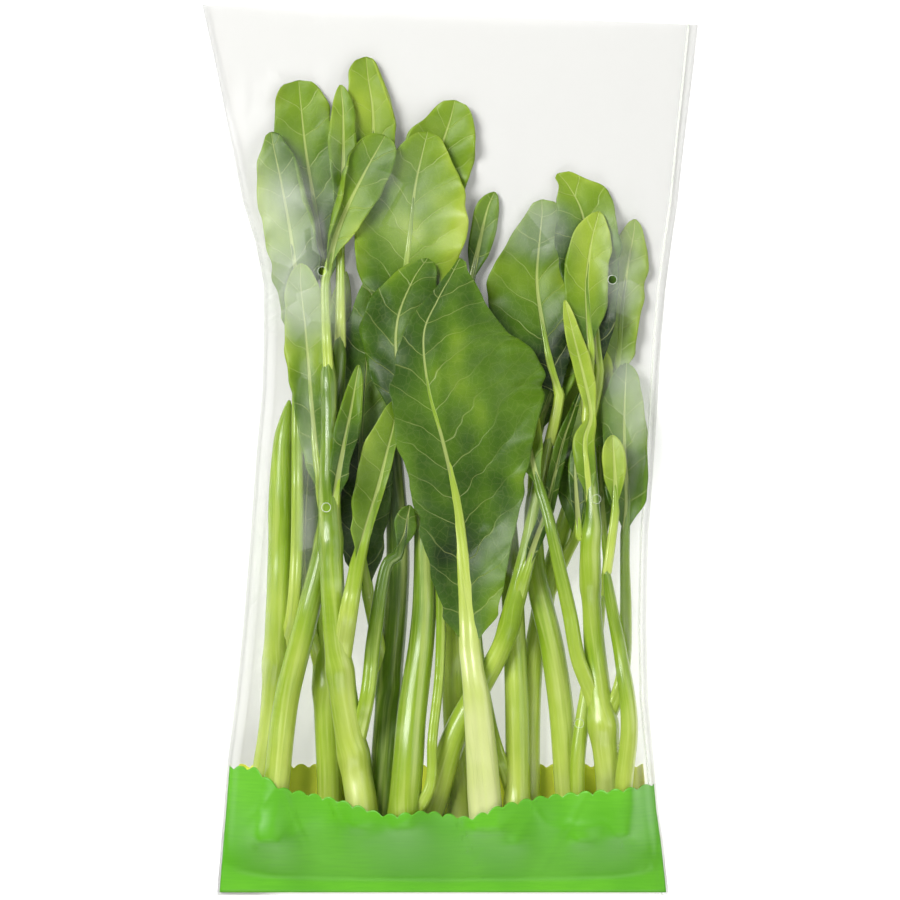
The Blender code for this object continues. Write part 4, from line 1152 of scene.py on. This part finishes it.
total = 0
for name, groups in bunch.items():
    stems = [group[0] for group in groups]
    blades = [shape for group in groups for shape in group[1:]]
    total += tie(mesh_object(f"{name}_stems", stems, stem_material), name)
    total += tie(mesh_object(f"{name}_blades", blades, leaf_material), name)
print("stems and leaves:", total, "faces")

# %% [markdown]
# ## The film
# The bag is a tube of thin clear film. It lies flat below, is creased along its two sides, and
# drapes over the bunch above. Cloth simulation would do it, but film is stiff and was pulled
# tight when the bunch was pushed in, so it behaves like a membrane held up by what it touches.
# Each place of the map is set to the mean of its neighbours again and again, and never below
# the pile, which is how a soap film or a tight sheet finds its shape.

# %% The shape of the film
FILM = 0.12
FILM_CLEARANCE = 0.5
BAG_HALF_LENGTH = 179.5
SEAL_DEPTH = 5.0
CLOSING_LENGTH = 26.0
MOUTH_RISE = 7.0
MOUTH_START = 120.0
MOUTH_LENGTH = 50.0
MOUTH_ROUNDING = 60.0
FILM_SLOPE = 0.42
SIDE_STEEPNESS = 1.7
BAG_SIDES = [
    # y, left edge, right edge, height of the side folds
    (-179.5, -94.0, 88.3, 0.6),
    (-174.5, -93.6, 87.8, 1.0),
    (-160.0, -92.4, 86.2, 3.5),
    (-145.0, -91.0, 84.0, 5.5),
    (-125.0, -89.5, 82.2, 7.0),
    (-100.0, -86.2, 79.8, 7.0),
    (-70.0, -83.2, 79.2, 7.0),
    (-34.0, -80.3, 79.9, 7.0),
    (0.0, -77.8, 82.5, 7.0),
    (24.0, -75.6, 83.9, 7.0),
    (46.0, -75.0, 85.2, 6.5),
    (66.0, -75.0, 87.0, 6.0),
    (84.0, -78.5, 89.4, 5.0),
    (100.0, -83.5, 91.8, 4.5),
    (120.0, -87.5, 93.8, 4.0),
    (150.0, -93.5, 97.0, 3.5),
    (179.5, -100.0, 100.0, 3.0),
]
RELAXING_ROUNDS = 160


def side_at(ys, k):
    """A column of the table of the bag's sides, at any y."""
    table = np.array(BAG_SIDES)
    return np.interp(ys, table[:, 0], table[:, k])


def film_heights(pile):
    """The height of the upper film over each place."""
    to_side = np.minimum(GRID_X - side_at(GRID_Y, 1), side_at(GRID_Y, 2) - GRID_X)
    steep = side_at(GRID_Y, 3) + SIDE_STEEPNESS * np.clip(to_side, 0, None)
    floor = widened(pile, 1) + FILM_CLEARANCE
    towards_mouth = ease((GRID_Y - MOUTH_START) / MOUTH_LENGTH)
    opening = MOUTH_RISE * towards_mouth * ease(to_side / MOUTH_ROUNDING)
    closing = ease((GRID_Y + BAG_HALF_LENGTH - SEAL_DEPTH) / CLOSING_LENGTH)
    film = np.minimum(np.maximum(spread(pile, FILM_SLOPE), opening), steep)
    film = np.maximum(film * closing, floor)
    cap = np.maximum(steep * closing, floor)
    for _ in range(RELAXING_ROUNDS):
        film = np.clip(averaged(film, 1), floor, cap)
    return averaged(film, 1)


film_map = film_heights(ground)
print("the film's highest place:", round(float(film_map.max()), 1), "mm")

# %% [markdown]
# ## Creases
# Film never hangs smooth. Long soft folds run along the bag, and short sharp creases spread from
# where it is caught. Both are noise: soft folds from hills that are long in one direction, and
# sharp ones from the lines where such hills cross zero.

# %% Folds and creases
FOLD_INSET = 5.0
FOLD_WIDTH = 0.9
FOLD_RISE = 0.7
FOLD_END = -132.0
FOLD_FADING = 12.0
LONG_STRETCH = 0.2
LONG_SIZE = 8.0
LONG_HEIGHT = 0.3
BROAD_SIZE = 34.0
BROAD_HEIGHT = 0.4
CREASE_STRETCH = 0.3
SHARP_CREASES = [
    # lean, turn, size, seed, sharpness, height
    (0.4, -0.2, 16.0, 902, 8.0, 0.45),
    (-0.6, 0.3, 19.0, 903, 9.0, 0.4),
]
STIFF_START = -178.0
STIFF_LENGTH = 40.0
STIFF_SHARE = 0.35
CREASE_BASE = 0.4
CREASE_INSET = 10.0
CREASE_END = 12.0
LEAST_GAP = 0.3
CURL_WIDTH = 5.0


def side_fold(xs, ys):
    """The pressed edge of the side fold, which shows as a line just inside the right side."""
    inset = side_at(ys, 2) - xs
    ridge = FOLD_RISE * np.exp(-((inset - FOLD_INSET) / FOLD_WIDTH) ** 2)
    return ridge * (1 - ease((ys - FOLD_END) / FOLD_FADING))


def creases(xs, ys):
    """What the folds add to the film's height."""
    along = LONG_HEIGHT * hills(xs, ys * LONG_STRETCH, LONG_SIZE, 901)
    sharp = np.zeros(np.shape(xs))
    for lean, turn, size, seed, sharpness, height in SHARP_CREASES:
        line = hills(xs + lean * ys, ys * CREASE_STRETCH + turn * xs, size, seed)
        sharp += np.clip(1 - np.abs(line) * sharpness, 0, 1) * height
    broad = BROAD_HEIGHT * hills(xs, ys, BROAD_SIZE, 904)
    loose = STIFF_SHARE + (1 - STIFF_SHARE) * ease((ys - STIFF_START) / STIFF_LENGTH)
    return CREASE_BASE + (along + sharp + broad) * loose + side_fold(xs, ys)


def film_point(xs, ys):
    """The upper film's height over a place, creases included."""
    to_side = np.minimum(xs - side_at(ys, 1), side_at(ys, 2) - xs)
    fading = ease(to_side / CREASE_INSET) * ease((ys + BAG_HALF_LENGTH) / CREASE_END)
    fold = side_at(ys, 3)
    held = np.maximum(sample(film_map, xs, ys), 2 * FILM + LEAST_GAP)
    high = held + np.maximum(creases(xs, ys), 0) * fading
    off_fold = ease(to_side / CURL_WIDTH)
    return high * off_fold + np.minimum(fold, high) * (1 - off_fold)


print("film over the middle:", round(float(film_point(np.array(0.0), np.array(0.0))), 1), "mm")

# %% [markdown]
# ## The bag's mesh
# The tube of film is one closed loop at each station from the seal to the mouth: across the top,
# round the side fold, back along the bottom. A grid of such loops is easier to follow than two
# sheets that are sewn together, and has no seam. Solidify then gives it thickness.

# %% Loops of film
FILM_STEP = 1.6
BOTTOM_COUNT = 44
BOTTOM_RISE = 0.25
TOP_COUNT = 118
EVEN_SHARE = 0.45
CURL_SHARE = 0.8
MOUTH_SLANT = 8.0
SLANT_START = 100.0
SLANT_LENGTH = 80.0


def slanted(xs, ys):
    """The mouth is cut at a slant: the right side is shorter."""
    fraction = (xs - side_at(ys, 1)) / (side_at(ys, 2) - side_at(ys, 1))
    return ys - MOUTH_SLANT * ease((ys - SLANT_START) / SLANT_LENGTH) * np.clip(fraction, 0, 1)


def film_loops():
    """Points round the film, one loop for each station, closer together at the two sides."""
    even = np.linspace(0, 1, TOP_COUNT)
    close_at_sides = (1 - np.cos(np.linspace(0, math.pi, TOP_COUNT))) / 2
    fractions = (1 - EVEN_SHARE) * close_at_sides + EVEN_SHARE * even
    stations = np.arange(-BAG_HALF_LENGTH, BAG_HALF_LENGTH + 0.1, FILM_STEP)
    stations[-1] = BAG_HALF_LENGTH
    loops = []
    for y in stations:
        left = side_at(y, 1) + FILM
        right = side_at(y, 2) - FILM
        fold = side_at(y, 3)
        above = left + (right - left) * fractions
        below = right + (left - right) * np.linspace(0, 1, BOTTOM_COUNT + 2)[1:-1]
        inset = np.minimum(below - left, right - below)
        curl = fold * (1 - ease(inset / CURL_WIDTH)) * CURL_SHARE
        xs = np.concatenate([above, below])
        zs = np.concatenate([film_point(above, np.full(TOP_COUNT, y)), BOTTOM_RISE + curl])
        loops.append(np.column_stack([xs, slanted(xs, np.full(len(xs), y)), zs]))
    return np.array(loops)


print("one loop has", film_loops().shape[1], "points")

# %% [markdown]
# ## Vent holes
# Produce bags are punched with small round holes, so that what is inside can breathe. A Boolean
# with cylinders would work on thin film only with luck. Here the faces over a hole are left out,
# and the points round the gap are moved onto the hole's circle, which makes it round.

# %% Punch the vents
VENT_RADIUS = 1.8
VENTS = [(-51.2, 71.6), (65.2, 68.4), (-49.2, -22.8), (58.4, -19.6), (51.6, -109.2)]


def punched(points, faces, top):
    """The faces left when the vents are cut, with the points round each moved onto its circle."""
    keep = np.ones(len(faces), bool)
    for x, y in VENTS:
        away = np.linalg.norm(points[:, :2] - (x, y), axis=1)
        inside = (away < VENT_RADIUS) & top
        cut = inside[faces].any(axis=1)
        rim = np.setdiff1d(faces[cut], np.flatnonzero(inside))
        pull = (VENT_RADIUS / away[rim])[:, None]
        points[rim, :2] = (x, y) + (points[rim, :2] - (x, y)) * pull
        keep &= ~cut
    used, renumbered = np.unique(faces[keep], return_inverse=True)
    return points[used], renumbered.reshape(-1, 4)


loops = film_loops()
around = loops.shape[1]
film_points = loops.reshape(-1, 3)
on_top = np.tile(np.arange(around) < TOP_COUNT, len(loops))
film_faces = grid_faces(len(loops), around, closed=True)
film_points, film_faces = punched(film_points, film_faces, on_top)
film_sheet = film_points[:, :2]
film_shape = Shape(film_points, film_sheet, [tuple(face) for face in film_faces], film_sheet,
                   np.zeros((len(film_points), 2)))
print("film:", len(film_points), "points in", len(loops), "loops")

# %% [markdown]
# ## Clear film
# Film is seen by what it does to light: it mirrors bright things, more so where it is seen
# edge-on, and looks milky where it catches a broad reflection. That broad reflection is painted:
# a matt white layer, in the places listed below, which are where the photograph shows it. A glass
# shader would bend light and make noise, so a clear shader is mixed with the matt one where the
# film is whitened, and then with a glossy one by how far the film is turned away. The Layer Weight
# node is used for that, because it gives the same answer on both faces of a thin sheet, and the
# Fresnel node doesn't. Here `tone` carries the painted reflection and how far the right side of
# the bag is, where a pale line is drawn just inside it.

# %% Film material
# Painted reflection: each spot whitens the film as if it caught a broad reflection of a lamp.
REFLECTION_SPOTS = [
    # x, y, reach across, reach along, strength
    (-69.0, 84.0, 17.0, 36.0, 0.18),
    (-54.0, 58.0, 16.0, 14.0, 0.12),
    (-57.0, -10.0, 4.0, 50.0, 0.10),
    (-20.0, 100.0, 16.0, 22.0, 0.05),
    (34.0, 90.0, 15.0, 12.0, 0.09),
    (70.0, 78.0, 9.0, 24.0, 0.11),
    (72.0, 18.0, 9.0, 20.0, 0.20),
    (-76.0, -60.0, 4.0, 50.0, 0.10),
]
REFLECTION_PATCH = 17.0
REFLECTION_LIMIT = 0.5
LOWER_FILM = 1.0
EDGE_LINE = 3.0
FILM_TINT = (0.946, 0.946, 0.942, 1.0)
WHITENING_COLOUR = (0.88, 0.93, 0.83, 1.0)
WHITE = (1.0, 1.0, 1.0, 1.0)


def painted_reflection_at(xs, ys):
    """How much the painted reflection whitens the film over a place."""
    whitening = np.zeros(xs.shape)
    for x, y, wide, long, strength in REFLECTION_SPOTS:
        whitening += strength * np.exp(-(((xs - x) / wide) ** 2 + ((ys - y) / long) ** 2) ** 2)
    patchy = 0.75 + 0.5 * hills(xs, ys, REFLECTION_PATCH, 905)
    return np.clip(whitening * patchy, 0, REFLECTION_LIMIT)


def clear_film():
    """Clear, mirroring where turned away, and whitened by a matt layer at the painted reflection, the
    pale line and the vents' lips.
    """
    nodes = Nodes("clear_film")
    tone, place, _ = marks(nodes)
    facing = nodes.add("ShaderNodeLayerWeight", None, Blend=0.5).outputs["Facing"]
    mirror = nodes.maths("MULTIPLY_ADD", nodes.maths("POWER", facing, 4.0), 0.21, 0.002)
    clear = nodes.add("ShaderNodeBsdfTransparent", None, Color=FILM_TINT).outputs[0]
    shine = nodes.add("ShaderNodeBsdfGlossy", None, Color=WHITE, Roughness=0.2).outputs[0]
    nodes.feed(nodes.shader, "Base Color", WHITENING_COLOUR)
    nodes.feed(nodes.shader, "Roughness", 0.4)
    from_line = nodes.maths("SUBTRACT", tone.outputs[1], EDGE_LINE / SHEET_UNIT)
    line = nodes.remap(nodes.maths("ABSOLUTE", from_line), 0.0, 0.006, 0.3, 0.0)
    # Painted reflection: the whitening is stronger on some facets than on others, as creased film
    # catches the lamps in patches.
    facets = nodes.add("ShaderNodeTexVoronoi", {"feature": "F1"}, Vector=place, Scale=6.5,
                       Randomness=1.0).outputs["Color"]
    facet = nodes.add("ShaderNodeSeparateColor", None, Color=facets).outputs[0]
    flash = nodes.remap(facet, 0.3, 0.95, 0.6, 1.3)
    whitening = nodes.maths("ADD", nodes.maths("MULTIPLY", tone.outputs[0], flash), line)
    whitened = nodes.add("ShaderNodeMixShader", None)
    nodes.feed(whitened, 0, whitening)
    nodes.feed(whitened, 1, clear)
    nodes.feed(whitened, 2, nodes.shader.outputs[0])
    blend = nodes.add("ShaderNodeMixShader", None)
    nodes.feed(blend, 0, mirror)
    nodes.feed(blend, 1, whitened.outputs[0])
    nodes.feed(blend, 2, shine)
    nodes.tree.links.new(blend.outputs[0], nodes.output.inputs["Surface"])
    return nodes.material


film_material = clear_film()
# Painted reflection on the upper film; the lower film gets none.
film_shape.tone[:, 0] = painted_reflection_at(film_points[:, 0], film_points[:, 1])
film_shape.tone[film_points[:, 2] < LOWER_FILM, 0] = 0.0
film_shape.tone[:, 1] = (side_at(film_points[:, 1], 2) - film_points[:, 0]) / SHEET_UNIT
film = mesh_object("bag_film", [film_shape], film_material)
thicken(film, FILM)
tie(film, "bag")
print("haziest place:", round(float(film_shape.tone[:, 0].max()), 2))

# %% [markdown]
# ## Rims of the vents
# A punch leaves a thin bright lip round each hole, and this lip is what shows where film lies on
# film. It is a ring of tiny circles that follows the film's height. A torus primitive would be
# flat and would sink into a crease on one side.

# %% Rings round the vents
RIM_THICKNESS = 0.16
RIM_SIDES = 8
RIM_STEPS = 30
RIM_HAZE = 0.35


def rim(x, y):
    """The lip of the vent at a place, as a closed ring."""
    turn = np.linspace(0, 2 * math.pi, RIM_STEPS, endpoint=False)[:, None]
    about = np.linspace(0, 2 * math.pi, RIM_SIDES, endpoint=False)[None, :]
    reach = VENT_RADIUS + RIM_THICKNESS * np.cos(about)
    xs = x + reach * np.cos(turn)
    ys = y + reach * np.sin(turn)
    zs = film_point(xs, ys) + RIM_THICKNESS * np.sin(about)
    ring = np.stack([xs, ys, zs], axis=2).reshape(-1, 3)
    faces = [tuple(face) for face in grid_faces(RIM_STEPS + 1, RIM_SIDES, closed=True) % len(ring)]
    numbers = np.column_stack([np.full(len(ring), RIM_HAZE), np.zeros(len(ring))])
    return Shape(ring, ring[:, :2], faces, ring[:, :2], numbers)


rims = [rim(x, y) for x, y in VENTS]
print("the rims have", tie(mesh_object("bag_vents", rims, film_material), "bag"), "faces")

# %% [markdown]
# ## The printed band
# The foot of the bag is printed green, with a scalloped upper edge, in front and behind. It could
# be a mask in the film's material, but its edge would then blur when the material is baked. A
# sheet of ink just off the film keeps the scallops crisp, and lets the ink be opaque and matt.

# %% Ink sheets
INK = 0.05
INK_GAP = 0.14
SCALLOP_PITCH = 6.0
SCALLOP_DEPTH = 2.0
INK_COLUMNS = 184
INK_ROWS = 46
FIRST_GUESS = (-88.0, 82.0)
FRONT_EDGE = [(-94, -128.5), (-78, -128.8), (-68, -136.5), (-44, -141.5), (-26, -147.0),
              (-10, -145.5), (8, -148.5), (20, -143.5), (34, -140.5), (56, -138.0),
              (78, -136.0), (90, -134.0)]
FRONT_INSET = 1.0
BACK_EDGE = -128.5
BACK_INSET = 4.5
SEAL_MARGIN = 1.2


def scallops(xs, edge):
    """Round lobes with sharp notches between them, along an edge."""
    return edge + SCALLOP_DEPTH * np.abs(np.cos(math.pi * xs / SCALLOP_PITCH)) ** 0.7


def ink_sheet(edge_at, heights_at, side_gap):
    """A sheet of ink from the seal up to a scalloped edge.

    How far up a point lies depends on its x, and how wide the bag is there depends on its y, so
    both are worked out three times over, each time from the last answer.
    """
    share = np.linspace(0, 1, INK_COLUMNS)
    foot = -BAG_HALF_LENGTH + SEAL_MARGIN
    points = []
    for k in range(INK_ROWS):
        xs = np.interp(share, [0, 1], FIRST_GUESS)
        for _ in range(3):
            ys = foot + (scallops(xs, edge_at(xs)) - foot) * (k / (INK_ROWS - 1)) ** 0.9
            left = side_at(ys, 1) + side_gap
            right = side_at(ys, 2) - side_gap
            xs = left + (right - left) * share
        points.append(np.column_stack([xs, ys, heights_at(xs, ys)]))
    return np.array(points).reshape(-1, 3), grid_faces(INK_ROWS, INK_COLUMNS)


def front_edge(xs):
    """How far up the front print reaches, where the photograph shows it."""
    return np.interp(xs, [x for x, _ in FRONT_EDGE], [y for _, y in FRONT_EDGE])


def back_edge(xs):
    """How far up the back print reaches: the same all across."""
    return np.full(xs.shape, BACK_EDGE)


def over_film(xs, ys):
    """Just above the upper film."""
    return film_point(xs, ys) + INK_GAP


def over_bottom(xs, ys):
    """Just above the lower film."""
    return np.full(xs.shape, BOTTOM_RISE + INK_GAP)


front_points, front_faces = ink_sheet(front_edge, over_film, FRONT_INSET)
back_points, back_faces = ink_sheet(back_edge, over_bottom, BACK_INSET)
print("ink points:", len(front_points), len(back_points))

# %% [markdown]
# The ink is bright grass green, brushed on in fine lines across the bag. The back print is
# yellower and lighter, as the photograph shows it between the stems, where it is seen from inside
# the bag: its own green with painted light, for the light from the floor that comes through it.

# %% Ink material
def green_ink(name, colour, deep):
    """Matt ink of one colour, with lines and patches of a deeper one."""
    nodes = Nodes(name)
    place = nodes.add("ShaderNodeUVMap", {"uv_map": "sheet"}).outputs[0]
    brushed = nodes.add("ShaderNodeMapping", None, Vector=place, Scale=(0.07, 1.0, 1.0)).outputs[0]
    lines = nodes.noise(brushed, 110.0, 3.0, 0.65)
    broad = nodes.noise(place, 3.5, 2.0)
    body = nodes.mix(nodes.remap(broad, 0.3, 0.7, 0.0, 0.5), colour, deep)
    lined = nodes.mix(nodes.remap(lines, 0.35, 0.75, 0.0, 0.35), body, deep)
    nodes.feed(nodes.shader, "Base Color", lined)
    nodes.feed(nodes.shader, "Roughness", 0.46)
    nodes.bump(lines, 0.15, 0.0002)
    return nodes.material


front_ink = green_ink("front_ink", light(92, 174, 18), light(70, 150, 10))
# Painted light: the back print is given a lighter, yellower colour than the front, for light from the
# floor that comes through it.
backlit_back_ink = green_ink("backlit_back_ink", light(246, 252, 84), light(230, 242, 64))
for name, points, faces, material in (("bag_band_front", front_points, front_faces, front_ink),
                                      ("bag_band_back", back_points, back_faces, backlit_back_ink)):
    shape = Shape(points, points[:, :2], [tuple(face) for face in faces], points[:, :2],
                  np.zeros((len(points), 2)))
    band = mesh_object(name, [shape], material)
    thicken(band, INK)
    tie(band, "bag")
print("the band is", round(BACK_EDGE + BAG_HALF_LENGTH), "mm deep behind")

# %% [markdown]
# ## Floor, light and camera
# The bunch is shown from straight above on a pale floor, as a shop would show it. The floor glows
# a little, more so below the stems, like a light table: it keeps the gaps between them bright.
# Large soft lights give the film its broad pale reflections; a small bright one would only give
# dots. The camera is far away with a long lens, so that tall and low parts keep their places.

# %% Floor
FLOOR_SIZE = 3.0
FLOOR_DROP = 0.0002
FLOOR_GLOW = 0.13
FOOT_GLOW = 0.5
GLOW_FROM_Y = -0.06
GLOW_TO_Y = 0.06
GLOW_FROM_X = -0.08
GLOW_TO_X = -0.066
FLOOR_CORNERS = [(-1, -1), (1, -1), (1, 1), (-1, 1)]
reach = FLOOR_SIZE / 2
floor_mesh = bpy.data.meshes.new("floor")
floor_mesh.from_pydata([(x * reach, y * reach, -FLOOR_DROP) for x, y in FLOOR_CORNERS], [],
                       [(0, 1, 2, 3)])
floor = bpy.data.objects.new("floor", floor_mesh)
bpy.context.scene.collection.objects.link(floor)
floor_nodes = Nodes("floor_paint")
floor_nodes.feed(floor_nodes.shader, "Base Color", (0.88, 0.88, 0.875, 1.0))
floor_nodes.feed(floor_nodes.shader, "Roughness", 0.7)
floor_nodes.feed(floor_nodes.shader, "Emission Color", WHITE)
floor_place = floor_nodes.add("ShaderNodeTexCoord").outputs["Object"]
floor_axes = floor_nodes.add("ShaderNodeSeparateXYZ", None, Vector=floor_place)
# Painted light: the floor glows more towards the foot and right of the bag's left side, which brightens
# the gaps below the stems and lightens the bag's shadow on its right.
towards_foot = floor_nodes.remap(floor_axes.outputs[1], GLOW_FROM_Y, GLOW_TO_Y, FOOT_GLOW, 0.0)
past_left_side = floor_nodes.remap(floor_axes.outputs[0], GLOW_FROM_X, GLOW_TO_X)
below_stems = floor_nodes.maths("MULTIPLY", towards_foot, past_left_side)
glow = floor_nodes.maths("ADD", below_stems, FLOOR_GLOW)
floor_nodes.feed(floor_nodes.shader, "Emission Strength", glow)
floor_mesh.materials.append(floor_nodes.material)
print("floor:", FLOOR_SIZE, "m square")

# %% Lights
def soft_light(name, place, size, power, aim=(0.0, 0.0, 0.0)):
    """A rectangular area light that looks at a place."""
    lamp = bpy.data.lights.new(name, "AREA")
    lamp.shape = "RECTANGLE"
    lamp.size, lamp.size_y = size
    lamp.energy = power
    thing = bpy.data.objects.new(name, lamp)
    thing.location = place
    away = [place[k] - aim[k] for k in range(3)]
    thing.rotation_euler = (math.atan2(math.hypot(away[0], away[1]), away[2]), 0,
                            math.atan2(away[1], away[0]) + math.pi / 2)
    bpy.context.scene.collection.objects.link(thing)
    return thing


soft_light("key", (-1.0, 0.8, 1.5), (0.9, 0.9), 46.0)
soft_light("fill", (1.5, 0.3, 1.3), (1.4, 1.8), 17.0)
soft_light("foot", (0.1, -1.6, 1.2), (1.8, 1.0), 15.0)
world = bpy.data.worlds.new("studio")
world.use_nodes = True
background = world.node_tree.nodes["Background"]
background.inputs["Color"].default_value = WHITE
background.inputs["Strength"].default_value = 0.2
bpy.context.scene.world = world
bpy.context.scene.view_settings.view_transform = "Standard"

# %% Camera
CAMERA_HEIGHT = 2.5
VIEW_WIDTH = 0.36
FOCUS_PLANE = 0.02
SENSOR_WIDTH = 36.0
camera = bpy.data.cameras.new("camera")
camera.sensor_width = SENSOR_WIDTH
camera.lens = SENSOR_WIDTH * (CAMERA_HEIGHT - FOCUS_PLANE) / VIEW_WIDTH
camera_object = bpy.data.objects.new("camera", camera)
camera_object.location = (0.0, 0.0, CAMERA_HEIGHT)
bpy.context.scene.collection.objects.link(camera_object)
bpy.context.scene.camera = camera_object
print("lens:", round(camera.lens), "mm")
